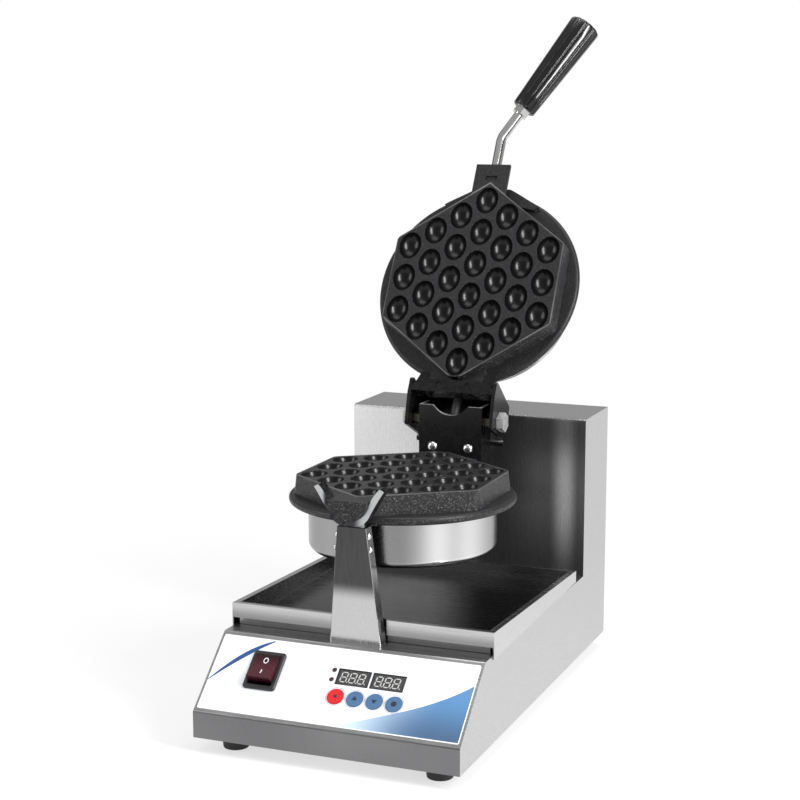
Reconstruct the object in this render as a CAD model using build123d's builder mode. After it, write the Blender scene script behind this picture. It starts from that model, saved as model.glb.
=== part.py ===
from build123d import *
import os
from math import atan2, cos, hypot, radians, sin, tan

# Rotating bubble waffle maker, in millimetres.
# The floor is at height 0, the middle of the base is at the origin, the operator
# stands on the -Y side, and the iron turns about an axis that runs front to back.
# It rests with the upper iron open.

os.makedirs("parts", exist_ok=True)

# Driving sizes of the stand
base_width = 250
base_depth = 440
base_height = 80
fascia_height = 24
panel_run = 63
sheet = 1.2
bend_radius = 2.5
return_width = 12
foot_height = 14
foot_top_radius = 13
foot_bottom_radius = 11.5
foot_inset = 28
tower_depth = 80
tower_height = 160

# Driving sizes of the tray
tray_front = 81
tray_length = 249
tray_front_height = 21
tray_rear_height = 13.5
tray_rim = 5
tray_sheet = 1.0
tray_fold = 13.5
skirt_drop = 3

# Driving sizes of the iron
turn_height = 226
iron_from_front = 184.5
flange_radius = 106
block_height = 18.3
flange_thickness = 7.5
hex_half_width = 89.5
hex_corner = 44
hex_tip = 109
hex_corner_round = 7
hex_tip_round = 16
wall_draft = 6
cell_width = 24
cell_length = 30
cell_pitch_x = 24.7
cell_pitch_y = 35.6
cells_in_middle = 6
columns_each_side = 3
cell_lift = 1.0
face_gap = 0.4
neck_radius = 18.4
neck_end = 130
neck_flare = 4
cover_radius = 88
cover_height = 44
cover_round = 7

cover_sheet = 1.0
heater_ring = 60
heater_radius = 4
heater_sweep = 310
heater_ends = 12
pad_thickness = 20
lead_out = 46
lid_cable_radius = 4.5
lower_lead_radius = 2.5
lead_bend = 7.5

# Driving sizes of the hinge
pivot_back = 140.5
pivot_up = 26.4
open_angle = 119.7
pivot_radius = 5
bracket_half_width = 33
bracket_plate = 3
plate_from_iron = 125.5
yoke_half_width = 46
yoke_plate = 3.5

web_start = 1
web_front = 108.5
web_back = 121.5
web_front_half = 37
arm_round = 3

# Driving sizes of the bearing
shaft_radius = 11
shaft_bore = 7
bush_wall = 2.5
housing_radius = 17.5
housing_flange_radius = 27

# Driving sizes of the column and cradle
column_foot_width = 49
column_top_width = 27.5
column_depth = 12.5
column_sheet = 1.5
column_bend = 1.2
column_from_front = 71
column_lean = 8
cradle_depth = 13
cradle_wall = 4.5
cradle_horn_spread = 33
cradle_horn_rise = 12
cradle_screw_radius = 2

# Driving sizes of the handle
rod_radius = 5.2
rod_out = 8.5
rod_straight = 35
rod_bend_angle = 27.5
rod_bend_radius = 22
rod_reach = 31
grip_length = 111
grip_small_radius = 11.5
grip_large_radius = 16
grip_flutes = 12

rod_socket = 18
handle_nut_radius = 9
handle_nut_height = 7
flute_radius = 2.6
flute_rise = 1.4

# Driving sizes of the control panel
label_margin = 2.5
label_thickness = 0.5
rocker_x = -71.5
rocker_up = 48
rocker_width = 23
rocker_length = 27
rocker_tilt = 10
display_width = 30
display_height = 15
display_up = 52.5
display_left_x = 12.2
display_right_x = 44.8
led_x = -7.5
led_radius = 2
led_ups = (58.3, 48.8)
pad_first_x = 1.5
pad_pitch = 18.2
pad_up = 32.6
pad_radius = 7.6
pad_travel = 0.5

# Clearances
running_gap = 0.08
near_gap = 0.3
slot_gap = 0.3

# Places worked out from the driving sizes
half_width = base_width / 2
front_y = -base_depth / 2
rear_y = base_depth / 2
deck_z = foot_height + base_height
ledge_y = front_y + panel_run
tower_y = rear_y - tower_depth
tower_top = deck_z + tower_height
iron_y = front_y + iron_from_front
pivot_y = iron_y + pivot_back
pivot_z = turn_height + pivot_up
plate_y = iron_y + plate_from_iron
flange_back = face_gap / 2 + block_height + flange_thickness
cover_end = flange_back + cover_height
panel_angle = atan2(base_height - fascia_height, panel_run)
panel_length = hypot(base_height - fascia_height, panel_run)
swing = radians(open_angle)
lid_y = pivot_y - pivot_back * cos(swing) - pivot_up * sin(swing)
lid_z = pivot_z + pivot_back * sin(swing) - pivot_up * cos(swing)

# Working planes
# On the panel plane X runs across, Y runs up the slope and Z stands out of it.
# On both iron planes Y points to the neck and Z points away from the meeting face.
panel_plane = Plane(
    origin=(0, front_y, foot_height + fascia_height),
    x_dir=(1, 0, 0),
    z_dir=(0, -sin(panel_angle), cos(panel_angle)),
)
panel_out = Axis(panel_plane.origin, panel_plane.z_dir)
lower_half = Plane(origin=(0, iron_y, turn_height), x_dir=(1, 0, 0), z_dir=(0, 0, -1))
upper_half = Plane(origin=(0, lid_y, lid_z), x_dir=(-1, 0, 0), z_dir=(0, sin(swing), cos(swing)))


def facing_front(y):
    """Upright plane at y: X runs across, Y runs up, and Z points to the front."""
    return Plane(origin=(0, y, 0), x_dir=(1, 0, 0), z_dir=(0, -1, 0))


def facing_back(y):
    """Upright plane at y whose Z points to the rear and whose Y runs up."""
    return Plane(origin=(0, y, 0), x_dir=(-1, 0, 0), z_dir=(0, 1, 0))


def across_neck(half, along):
    """Plane square to the neck of an iron half, with Z towards the neck's end."""
    return Plane(origin=half.from_local_coords((0, along, 0)), x_dir=half.x_dir, z_dir=half.y_dir)


def beside_iron(half, side):
    """Plane parallel to the arms: X runs along the neck and Y away from the face."""
    return Plane(origin=half.from_local_coords((side, 0, 0)), x_dir=half.y_dir, z_dir=half.x_dir)


# Base shell: one bent sheet with the sloped front, open below and behind,
# with narrow returns round both openings
def base_outline(inset):
    with BuildSketch(Plane.YZ) as outline:
        with BuildLine():
            Polyline(
                (front_y, foot_height),
                (front_y, foot_height + fascia_height),
                (ledge_y, deck_z),
                (rear_y, deck_z),
                (rear_y, foot_height),
                close=True,
            )
        make_face()
        by_depth = outline.vertices().group_by(Axis.X)
        fillet([by_depth[0].sort_by(Axis.Y)[-1], by_depth[1][0]], bend_radius)
        if inset:
            offset(amount=-inset, mode=Mode.REPLACE)
    return outline.sketch


display_window = (display_width + 2 * slot_gap, display_height + 2 * slot_gap)
switch_body_size = (rocker_width + 4, rocker_length + 6.5)
switch_cutout = (switch_body_size[0] + 2 * slot_gap, switch_body_size[1] + 2 * slot_gap)
pad_xs = [pad_first_x + i * pad_pitch for i in range(4)]
pad_hole_radius = pad_radius + near_gap
led_hole_radius = led_radius + near_gap


def panel_openings():
    """Outlines that the panel sheet and its label share."""
    with Locations((rocker_x, rocker_up)):
        Rectangle(*switch_cutout)
    with Locations((display_left_x, display_up), (display_right_x, display_up)):
        Rectangle(*display_window)
    with Locations(*[(led_x, up) for up in led_ups]):
        Circle(led_hole_radius)
    with Locations(*[(x, pad_up) for x in pad_xs]):
        Circle(pad_hole_radius)


column_screw_radius = 2
column_screw_spread = 26
column_top = turn_height - neck_radius - near_gap - cradle_wall - 2
column_front = front_y + column_from_front
cradle_screw_y = column_front - column_lean + column_depth / 2 - 0.5
cradle_screw_spots = [(cradle_screw_y, column_top - 8), (cradle_screw_y, column_top - 20)]
column_screw_y = front_y + column_from_front + column_depth / 2 + 1
back_screw_inset = return_width / 2 + sheet / 2
back_screw_radius = 2
back_screw_xs = (back_screw_inset - half_width, half_width - back_screw_inset)
base_back_spots = [(x, foot_height + back_screw_inset) for x in back_screw_xs]
tower_back_spots = [(x, z) for x in back_screw_xs for z in (deck_z + 18, tower_top - back_screw_inset)]
tower_screw_radius = 2
tower_screw_spots = [
    (x, y)
    for x in (return_width / 2 + sheet - half_width, half_width - return_width / 2 - sheet)
    for y in (tower_y + tower_depth / 4, tower_y + 3 * tower_depth / 4)
]
bottom_screw_radius = 2
bottom_screw_inset = sheet + (return_width - sheet) / 2
bottom_screw_spots = [
    (0, front_y + bottom_screw_inset),
    (0, rear_y - bottom_screw_inset),
    (half_width - bottom_screw_inset, base_depth / 4),
    (half_width - bottom_screw_inset, -base_depth / 4),
    (bottom_screw_inset - half_width, base_depth / 4),
    (bottom_screw_inset - half_width, -base_depth / 4),
]

with BuildPart() as base_shell:
    extrude(base_outline(0), amount=half_width, both=True)
    extrude(base_outline(sheet), amount=half_width - sheet, both=True, mode=Mode.SUBTRACT)
    with BuildSketch(Plane.XY.offset(foot_height)):
        Rectangle(base_width - 2 * return_width, base_depth - 2 * return_width)
    extrude(amount=sheet, mode=Mode.SUBTRACT)
    with BuildSketch(facing_front(rear_y)):
        with Locations((0, foot_height + base_height / 2)):
            Rectangle(base_width - 2 * return_width, base_height - 2 * return_width)
        with Locations(*base_back_spots):
            Circle(back_screw_radius)
    extrude(amount=sheet, mode=Mode.SUBTRACT)
    with BuildSketch(panel_plane):
        panel_openings()
    extrude(amount=-2 * sheet, mode=Mode.SUBTRACT)
    with BuildSketch(Plane.XY.offset(deck_z)):
        with Locations((0, tower_y + tower_depth / 2)):
            Rectangle(base_width - 4 * return_width, tower_depth - 3 * return_width)
        with Locations((0, column_screw_y)):
            with GridLocations(column_screw_spread, 0, 2, 1):
                Circle(column_screw_radius)
        with Locations(*tower_screw_spots):
            Circle(tower_screw_radius)
    extrude(amount=-sheet, mode=Mode.SUBTRACT)
    with BuildSketch(Plane.XY.offset(foot_height)):
        with Locations(*bottom_screw_spots):
            Circle(bottom_screw_radius)
    extrude(amount=sheet, mode=Mode.SUBTRACT)
base_shell.part.label = "base_shell"
export_step(base_shell.part, "parts/base_shell.step")

# Bottom plate: lies on the returns of the shell and carries the feet
foot_pitch_x = base_width - 2 * foot_inset
foot_pitch_y = base_depth - 2 * foot_inset
foot_screw_radius = 2.5
plate_z = foot_height + sheet
with BuildPart() as bottom_plate:
    with BuildSketch(Plane.XY.offset(plate_z)):
        Rectangle(base_width - 2 * (sheet + near_gap), base_depth - 2 * (sheet + near_gap))
        with GridLocations(foot_pitch_x, foot_pitch_y, 2, 2):
            Circle(foot_screw_radius, mode=Mode.SUBTRACT)
        with Locations(*bottom_screw_spots):
            Circle(bottom_screw_radius, mode=Mode.SUBTRACT)
        with GridLocations(18, 0, 7, 1):
            SlotOverall(60, 4, rotation=90, mode=Mode.SUBTRACT)
    extrude(amount=sheet)
bottom_plate.part.label = "bottom_plate"
export_step(bottom_plate.part, "parts/bottom_plate.step")

# Rubber feet: tapered, with a well below for the screw head
foot_well_radius = 5.5
foot_well_depth = 6
with BuildPart() as rubber_feet:
    with GridLocations(foot_pitch_x, foot_pitch_y, 2, 2):
        with Locations((0, 0, plate_z / 2)):
            Cone(foot_bottom_radius, foot_top_radius, plate_z)
    fillet(rubber_feet.edges().filter_by(GeomType.CIRCLE).group_by(Axis.Z)[0], 1)
    with GridLocations(foot_pitch_x, foot_pitch_y, 2, 2):
        with Locations((0, 0, foot_well_depth / 2)):
            Cylinder(foot_well_radius, foot_well_depth, mode=Mode.SUBTRACT)
        with Locations((0, 0, plate_z / 2)):
            Cylinder(foot_screw_radius, plate_z, mode=Mode.SUBTRACT)
rubber_feet.part.label = "rubber_feet"
export_step(rubber_feet.part, "parts/rubber_feet.step")


def screw(head_radius, head_height, shank_radius, shank_length):
    """Round headed screw, turned about Z, with its seat at 0."""
    with BuildPart() as single:
        with BuildSketch(Plane.XZ):
            with BuildLine():
                Line((0, -shank_length), (0, head_height))
                ThreePointArc(
                    (0, head_height),
                    (head_radius * 0.72, head_height * 0.72),
                    (head_radius, 0),
                )
                Polyline(
                    (head_radius, 0),
                    (shank_radius, 0),
                    (shank_radius, -shank_length),
                    (0, -shank_length),
                )
            make_face()
        revolve(axis=Axis.Z)
    return single.part


foot_screw = screw(4.5, 3, foot_screw_radius - running_gap, plate_z - foot_well_depth + sheet + 4)
with BuildPart() as foot_screws:
    with Locations(Plane(origin=(0, 0, foot_well_depth), z_dir=(0, 0, -1))):
        with GridLocations(foot_pitch_x, foot_pitch_y, 2, 2):
            add(foot_screw)
foot_screws.part.label = "foot_screws"
export_step(foot_screws.part, "parts/foot_screws.step")

bottom_screw = screw(3.5, 2.2, bottom_screw_radius - running_gap, 2 * sheet + 3)
with BuildPart() as bottom_plate_screws:
    with Locations(*[Plane(origin=(x, y, foot_height), z_dir=(0, 0, -1)) for x, y in bottom_screw_spots]):
        add(bottom_screw)
bottom_plate_screws.part.label = "bottom_plate_screws"
export_step(bottom_plate_screws.part, "parts/bottom_plate_screws.step")

# Control label: printed sheet on the slope, with the same openings as the panel
label_bottom = label_margin + 1.5
label_top = panel_length - label_margin - 1.5
with BuildPart() as control_label:
    with BuildSketch(panel_plane) as label_outline:
        with Locations((0, (label_bottom + label_top) / 2)):
            RectangleRounded(base_width - 2 * label_margin, label_top - label_bottom, 1.5)
    extrude(amount=label_thickness)
    with BuildSketch(panel_plane):
        panel_openings()
    extrude(amount=label_thickness, mode=Mode.SUBTRACT)
control_label.part.label = "control_label"
export_step(control_label.part, "parts/control_label.step")

# Control board with its displays, lamps, switches and standoffs behind the panel
board_depth = 11
board_thickness = 1.6
board_margin = 8
board_left = led_x - board_margin
board_right = display_right_x + display_width / 2 + board_margin
board_bottom = pad_up - pad_radius - board_margin
board_top = display_up + display_height / 2 + board_margin
board_width = board_right - board_left
board_height = board_top - board_bottom
board_centre = ((board_left + board_right) / 2, (board_bottom + board_top) / 2)
standoff_inset = 3.5
standoff_radius = 2.5
board_screw_radius = 1.2
board_face = panel_plane.offset(-board_depth)


def board_corners():
    return GridLocations(board_width - 2 * standoff_inset, board_height - 2 * standoff_inset, 2, 2)


with BuildPart() as control_board:
    with BuildSketch(board_face):
        with Locations(board_centre):
            Rectangle(board_width, board_height)
            with board_corners():
                Circle(board_screw_radius + running_gap, mode=Mode.SUBTRACT)
    extrude(amount=-board_thickness)
    with BuildSketch(board_face.offset(-board_thickness)):
        with Locations((board_centre[0], board_centre[1] - 6)):
            with GridLocations(28, 0, 2, 1):
                Rectangle(18, 12)
    extrude(amount=-5)
control_board.part.label = "control_board"
export_step(control_board.part, "parts/control_board.step")

with BuildPart() as board_standoffs:
    with BuildSketch(board_face):
        with Locations(board_centre):
            with board_corners():
                RegularPolygon(standoff_radius, 6)
                Circle(board_screw_radius, mode=Mode.SUBTRACT)
    extrude(amount=board_depth - sheet)
board_standoffs.part.label = "board_standoffs"
export_step(board_standoffs.part, "parts/board_standoffs.step")

board_screw = screw(2.4, 1.6, board_screw_radius - running_gap, board_thickness + 5)
screw_face = Plane(
    origin=board_face.from_local_coords((*board_centre, -board_thickness)),
    x_dir=(1, 0, 0),
    z_dir=-board_face.z_dir,
)
with BuildPart() as board_screws:
    with Locations(screw_face):
        with board_corners():
            add(board_screw)
board_screws.part.label = "board_screws"
export_step(board_screws.part, "parts/board_screws.step")


def digit_display(x):
    """Three digit display: a block with a shallow step round its window."""
    with BuildPart() as block:
        with BuildSketch(board_face):
            with Locations((x, display_up)):
                Rectangle(display_width, display_height)
        extrude(amount=board_depth + label_thickness / 2)
        chamfer(block.faces().sort_by(panel_out)[-1].edges(), 0.4)
    return block


temperature_display = digit_display(display_left_x)
temperature_display.part.label = "temperature_display"
export_step(temperature_display.part, "parts/temperature_display.step")

time_display = digit_display(display_right_x)
time_display.part.label = "time_display"
export_step(time_display.part, "parts/time_display.step")

led_rise = 0.6
with BuildPart() as indicator_leds:
    with BuildSketch(board_face):
        with Locations(*[(led_x, up) for up in led_ups]):
            Circle(led_radius)
    extrude(amount=board_depth + label_thickness + led_rise)
    fillet(
        indicator_leds.faces().group_by(panel_out)[-1].edges(),
        led_radius * 0.6,
    )
indicator_leds.part.label = "indicator_leds"
export_step(indicator_leds.part, "parts/indicator_leds.step")

tact_size = 6
tact_height = 3.5
plunger_radius = 1.7
plunger_height = 1.1
with BuildPart() as tact_switches:
    with BuildSketch(board_face):
        with Locations(*[(x, pad_up) for x in pad_xs]):
            Rectangle(tact_size, tact_size)
    extrude(amount=tact_height)
    with BuildSketch(board_face.offset(tact_height)):
        with Locations(*[(x, pad_up) for x in pad_xs]):
            Circle(plunger_radius)
    extrude(amount=plunger_height)
tact_switches.part.label = "tact_switches"
export_step(tact_switches.part, "parts/tact_switches.step")

# Press pads: domed caps with a flange under the sheet and a stem over the switch
pad_rise = 0.8
pad_flange_radius = pad_radius + 1.2
pad_flange_thickness = 1
pad_stem_radius = 2.4
pad_stem_end = board_depth - tact_height - plunger_height - pad_travel - near_gap


def press_pad(x):
    flange_top = -(sheet + near_gap)
    flange_bottom = flange_top - pad_flange_thickness
    cap_top = label_thickness + pad_rise
    with BuildPart() as pad:
        with BuildSketch(panel_plane.offset(flange_bottom)):
            with Locations((x, pad_up)):
                Circle(pad_flange_radius)
        extrude(amount=pad_flange_thickness)
        with BuildSketch(panel_plane.offset(flange_top)):
            with Locations((x, pad_up)):
                Circle(pad_radius)
        extrude(amount=cap_top - flange_top)
        fillet(pad.faces().sort_by(panel_out)[-1].edges(), pad_rise * 0.6)
        with BuildSketch(panel_plane.offset(-pad_stem_end)):
            with Locations((x, pad_up)):
                Circle(pad_stem_radius)
        extrude(amount=pad_stem_end + flange_bottom)
    return pad


set_pad = press_pad(pad_xs[0])
set_pad.part.label = "set_pad"
export_step(set_pad.part, "parts/set_pad.step")

up_pad = press_pad(pad_xs[1])
up_pad.part.label = "up_pad"
export_step(up_pad.part, "parts/up_pad.step")

down_pad = press_pad(pad_xs[2])
down_pad.part.label = "down_pad"
export_step(down_pad.part, "parts/down_pad.step")

timer_pad = press_pad(pad_xs[3])
timer_pad.part.label = "timer_pad"
export_step(timer_pad.part, "parts/timer_pad.step")

# Power switch: framed body in the cut-out and a rocker on two short pins
bezel_size = (rocker_width + 8, rocker_length + 11)
bezel_rise = 2.6
switch_depth = 22
pocket_size = (rocker_width + 2 * near_gap, rocker_length + 3.6)
pocket_depth = 12
rocker_pivot_depth = 2.5
rocker_pin_radius = 1.4
rocker_pin_length = 1.2
rocker_top = 8.3
rocker_dip = 2.2
rocker_bottom = 7
blade_size = (6.3, 0.8)
blade_length = 8
with BuildPart() as switch_body:
    with BuildSketch(panel_plane.offset(-switch_depth)):
        with Locations((rocker_x, rocker_up)):
            Rectangle(*switch_body_size)
    extrude(amount=switch_depth + label_thickness)
    with BuildSketch(panel_plane.offset(label_thickness)):
        with Locations((rocker_x, rocker_up)):
            RectangleRounded(*bezel_size, 3)
    extrude(amount=bezel_rise)
    chamfer(switch_body.faces().sort_by(panel_out)[-1].edges(), 0.8)
    with BuildSketch(panel_plane.offset(label_thickness + bezel_rise)):
        with Locations((rocker_x, rocker_up)):
            Rectangle(*pocket_size)
    extrude(amount=-(pocket_depth + bezel_rise + label_thickness), mode=Mode.SUBTRACT)
    with BuildSketch(Plane(origin=panel_plane.from_local_coords((rocker_x, rocker_up, -rocker_pivot_depth)),
                           x_dir=(0, 1, 0), z_dir=(1, 0, 0))):
        Circle(rocker_pin_radius + running_gap)
    extrude(amount=rocker_width / 2 + near_gap + rocker_pin_length + near_gap, both=True, mode=Mode.SUBTRACT)
    with BuildSketch(panel_plane.offset(-switch_depth)):
        with Locations((rocker_x, rocker_up)):
            with GridLocations(14, 0, 2, 1):
                with GridLocations(0, 10, 1, 3):
                    Rectangle(*blade_size)
    extrude(amount=-blade_length)
switch_body.part.label = "switch_body"
export_step(switch_body.part, "parts/switch_body.step")

rocker_lean = panel_angle - radians(rocker_tilt)
rocker_plane = Plane(
    origin=panel_plane.from_local_coords((rocker_x, rocker_up, -rocker_pivot_depth)),
    x_dir=(0, cos(rocker_lean), sin(rocker_lean)),
    z_dir=(1, 0, 0),
)
with BuildPart() as switch_rocker:
    with BuildSketch(rocker_plane) as rocker_outline:
        with BuildLine():
            ThreePointArc(
                (-rocker_length / 2, rocker_top + rocker_pivot_depth),
                (0, rocker_top + rocker_pivot_depth - rocker_dip),
                (rocker_length / 2, rocker_top + rocker_pivot_depth),
            )
            Polyline(
                (rocker_length / 2, rocker_top + rocker_pivot_depth),
                (rocker_length / 2 - 0.8, 0),
                (rocker_length / 4, -rocker_bottom),
                (-rocker_length / 4, -rocker_bottom),
                (0.8 - rocker_length / 2, 0),
                (-rocker_length / 2, rocker_top + rocker_pivot_depth),
            )
        make_face()
    extrude(amount=rocker_width / 2, both=True)
    fillet(switch_rocker.edges().filter_by(Axis.X).sort_by(Axis.Z)[-1], 0.8)
    with BuildSketch(rocker_plane):
        Circle(rocker_pin_radius)
    extrude(amount=rocker_width / 2 + near_gap + rocker_pin_length, both=True)
switch_rocker.part.label = "switch_rocker"
export_step(switch_rocker.part, "parts/switch_rocker.step")

# Power board and mains terminals on the bottom plate
power_size = (110, 80)
power_z = plate_z + sheet
standoff_height = 6
with BuildPart() as power_board:
    with BuildSketch(Plane.XY.offset(power_z)):
        with GridLocations(power_size[0] - 10, power_size[1] - 10, 2, 2):
            Circle(3)
    extrude(amount=standoff_height)
    with BuildSketch(Plane.XY.offset(power_z + standoff_height)):
        Rectangle(*power_size)
    extrude(amount=board_thickness)
    with BuildSketch(Plane.XY.offset(power_z + standoff_height + board_thickness)):
        with Locations((-26, 8)):
            Rectangle(38, 32)
    extrude(amount=28)
    with BuildSketch(Plane.XY.offset(power_z + standoff_height + board_thickness)):
        with Locations((22, 12)):
            with GridLocations(22, 0, 2, 1):
                Rectangle(16, 20)
    extrude(amount=16)
    with BuildSketch(Plane.XY.offset(power_z + standoff_height + board_thickness)):
        with Locations((20, -24)):
            with GridLocations(16, 0, 3, 1):
                Circle(5)
    extrude(amount=18)
power_board.part.label = "power_board"
export_step(power_board.part, "parts/power_board.step")

terminal_size = (70, 24, 16)
terminal_centre = (40, 140)
with BuildPart() as terminal_block:
    with BuildSketch(Plane.XY.offset(power_z)):
        with Locations(terminal_centre):
            Rectangle(terminal_size[0], terminal_size[1])
    extrude(amount=terminal_size[2])
    with BuildSketch(Plane.XY.offset(power_z + terminal_size[2])):
        with Locations(terminal_centre):
            with GridLocations(11, 0, 6, 1):
                Circle(3)
    extrude(amount=-10, mode=Mode.SUBTRACT)
terminal_block.part.label = "terminal_block"
export_step(terminal_block.part, "parts/terminal_block.step")

# Tower cover: bent sheet box, open behind, standing on the deck
housing_screw_circle = 22
housing_screw_radius = 2
with BuildPart() as tower_cover:
    with BuildSketch(Plane.XY.offset(deck_z)):
        with Locations((0, tower_y + tower_depth / 2)):
            Rectangle(base_width, tower_depth)
    extrude(amount=tower_height)
    fillet(tower_cover.edges().filter_by(Axis.X).group_by(Axis.Z)[-1].sort_by(Axis.Y)[0], bend_radius)
    with BuildSketch(Plane.XY.offset(deck_z + sheet)):
        with Locations((0, tower_y + tower_depth / 2)):
            Rectangle(base_width - 2 * sheet, tower_depth - 2 * sheet)
    extrude(amount=tower_height - 2 * sheet, mode=Mode.SUBTRACT)
    with BuildSketch(Plane.XY.offset(deck_z)):
        with Locations((0, tower_y + tower_depth / 2)):
            Rectangle(base_width - 2 * return_width - 4, tower_depth - 2 * return_width)
        with Locations(*tower_screw_spots):
            Circle(tower_screw_radius)
    extrude(amount=sheet, mode=Mode.SUBTRACT)
    with BuildSketch(facing_front(rear_y)):
        with Locations((0, deck_z + tower_height / 2)):
            Rectangle(base_width - 2 * return_width, tower_height - 2 * return_width)
        with Locations(*tower_back_spots):
            Circle(back_screw_radius)
    extrude(amount=sheet, mode=Mode.SUBTRACT)
    with BuildSketch(facing_front(tower_y)):
        with Locations((0, turn_height)):
            Circle(housing_radius + near_gap)
            with PolarLocations(housing_screw_circle, 4, start_angle=45):
                Circle(housing_screw_radius)
    extrude(amount=-sheet, mode=Mode.SUBTRACT)
tower_cover.part.label = "tower_cover"
export_step(tower_cover.part, "parts/tower_cover.step")

# Back cover: one flat plate over the rear of base and tower, with vents
gland_x = 85
gland_z = foot_height + 32
gland_thread_radius = 7.5
vent_pitch = 9
back_screw_spots = base_back_spots + tower_back_spots
with BuildPart() as back_cover:
    with BuildSketch(facing_back(rear_y)):
        with Locations((0, (foot_height + tower_top) / 2)):
            Rectangle(base_width, tower_top - foot_height)
        with Locations((-gland_x, gland_z)):
            Circle(gland_thread_radius + near_gap, mode=Mode.SUBTRACT)
        with Locations((0, tower_top - 45)):
            with GridLocations(0, vent_pitch, 1, 6):
                SlotOverall(90, 3.5, mode=Mode.SUBTRACT)
        with Locations(*back_screw_spots):
            Circle(back_screw_radius, mode=Mode.SUBTRACT)
    extrude(amount=sheet)
back_cover.part.label = "back_cover"
export_step(back_cover.part, "parts/back_cover.step")

cover_screw = screw(3.6, 2.2, back_screw_radius - running_gap, 8)
with BuildPart() as back_cover_screws:
    with Locations(facing_back(rear_y + sheet)):
        with Locations(*back_screw_spots):
            add(cover_screw)
back_cover_screws.part.label = "back_cover_screws"
export_step(back_cover_screws.part, "parts/back_cover_screws.step")

# Cord gland: hexagon outside, thread through the plate and a nut inside
gland_bore = 4.2
gland_outside = 16
gland_inside = 12
with BuildPart() as cord_gland:
    with BuildSketch(facing_back(rear_y + sheet)):
        with Locations((-gland_x, gland_z)):
            RegularPolygon(11, 6)
    extrude(amount=6)
    with BuildSketch(facing_back(rear_y + sheet + 6)):
        with Locations((-gland_x, gland_z)):
            Circle(9.5)
    extrude(amount=gland_outside - 6)
    fillet(cord_gland.faces().sort_by(Axis.Y)[-1].edges(), 2.5)
    with BuildSketch(facing_front(rear_y + sheet)):
        with Locations((gland_x, gland_z)):
            Circle(gland_thread_radius)
    extrude(amount=gland_inside)
    with BuildSketch(facing_front(rear_y)):
        with Locations((gland_x, gland_z)):
            RegularPolygon(11, 6)
    extrude(amount=5)
    with BuildSketch(facing_back(rear_y + sheet - gland_inside)):
        with Locations((-gland_x, gland_z)):
            Circle(gland_bore)
    extrude(amount=gland_inside + gland_outside, mode=Mode.SUBTRACT)
cord_gland.part.label = "cord_gland"
export_step(cord_gland.part, "parts/cord_gland.step")

# Bearing: flanged housing on the tower, bronze bush and hollow turning shaft
bush_radius = shaft_radius + running_gap + bush_wall
housing_flange = 5
rotor_flange_radius = 24
rotor_flange = 5
spacer_length = 16
rotor_front = plate_y + bracket_plate + spacer_length
rotor_back = rotor_front + rotor_flange
spigot_length = 16
shaft_end = tower_y + 36
bush_front = rotor_back + near_gap
with BuildPart() as bearing_housing:
    with BuildSketch(facing_front(tower_y)):
        with Locations((0, turn_height)):
            Circle(housing_flange_radius)
            with PolarLocations(housing_screw_circle, 4, start_angle=45):
                Circle(housing_screw_radius, mode=Mode.SUBTRACT)
    extrude(amount=housing_flange)
    with BuildSketch(facing_front(tower_y + spigot_length)):
        with Locations((0, turn_height)):
            Circle(housing_radius)
    extrude(amount=tower_y + spigot_length - bush_front - 1)
    with BuildSketch(facing_front(tower_y + spigot_length)):
        with Locations((0, turn_height)):
            Circle(bush_radius + running_gap / 4)
    extrude(amount=tower_y + spigot_length - bush_front, mode=Mode.SUBTRACT)
bearing_housing.part.label = "bearing_housing"
export_step(bearing_housing.part, "parts/bearing_housing.step")

with BuildPart() as bearing_bush:
    with BuildSketch(facing_front(tower_y + spigot_length)):
        with Locations((0, turn_height)):
            Circle(bush_radius)
            Circle(shaft_radius + running_gap, mode=Mode.SUBTRACT)
    extrude(amount=tower_y + spigot_length - bush_front)
bearing_bush.part.label = "bearing_bush"
export_step(bearing_bush.part, "parts/bearing_bush.step")

housing_screw = screw(3.6, 2.6, housing_screw_radius - running_gap, housing_flange + sheet + 4)
with BuildPart() as bearing_screws:
    with Locations(Plane(origin=(0, tower_y - housing_flange, turn_height), x_dir=(1, 0, 0), z_dir=(0, -1, 0))):
        with PolarLocations(housing_screw_circle, 4, start_angle=45):
            add(housing_screw)
bearing_screws.part.label = "bearing_screws"
export_step(bearing_screws.part, "parts/bearing_screws.step")

bracket_screw_spread = 37.4
bracket_screw_radius = 2.5
with BuildPart() as rotor_shaft:
    with BuildSketch(facing_back(rotor_front)):
        with Locations((0, turn_height)):
            Circle(rotor_flange_radius)
            with GridLocations(bracket_screw_spread, 0, 2, 1):
                Circle(bracket_screw_radius, mode=Mode.SUBTRACT)
    extrude(amount=rotor_flange)
    with BuildSketch(facing_back(rotor_back)):
        with Locations((0, turn_height)):
            Circle(shaft_radius)
    extrude(amount=shaft_end - rotor_back)
    with BuildSketch(facing_back(rotor_front)):
        with Locations((0, turn_height)):
            Circle(shaft_bore)
    extrude(amount=shaft_end - rotor_front, mode=Mode.SUBTRACT)
    fillet(rotor_shaft.faces().sort_by(Axis.Y)[0].edges().sort_by(SortBy.RADIUS)[-1], 1)
rotor_shaft.part.label = "rotor_shaft"
export_step(rotor_shaft.part, "parts/rotor_shaft.step")

collar_radius = 17
collar_length = 10
collar_y = tower_y + spigot_length + near_gap
with BuildPart() as shaft_collar:
    with BuildSketch(facing_back(collar_y)):
        with Locations((0, turn_height)):
            Circle(collar_radius)
            Circle(shaft_radius + running_gap / 4, mode=Mode.SUBTRACT)
    extrude(amount=collar_length)
    chamfer(shaft_collar.edges().filter_by(GeomType.CIRCLE).sort_by(SortBy.RADIUS)[-2:], 1)
shaft_collar.part.label = "shaft_collar"
export_step(shaft_collar.part, "parts/shaft_collar.step")

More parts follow.
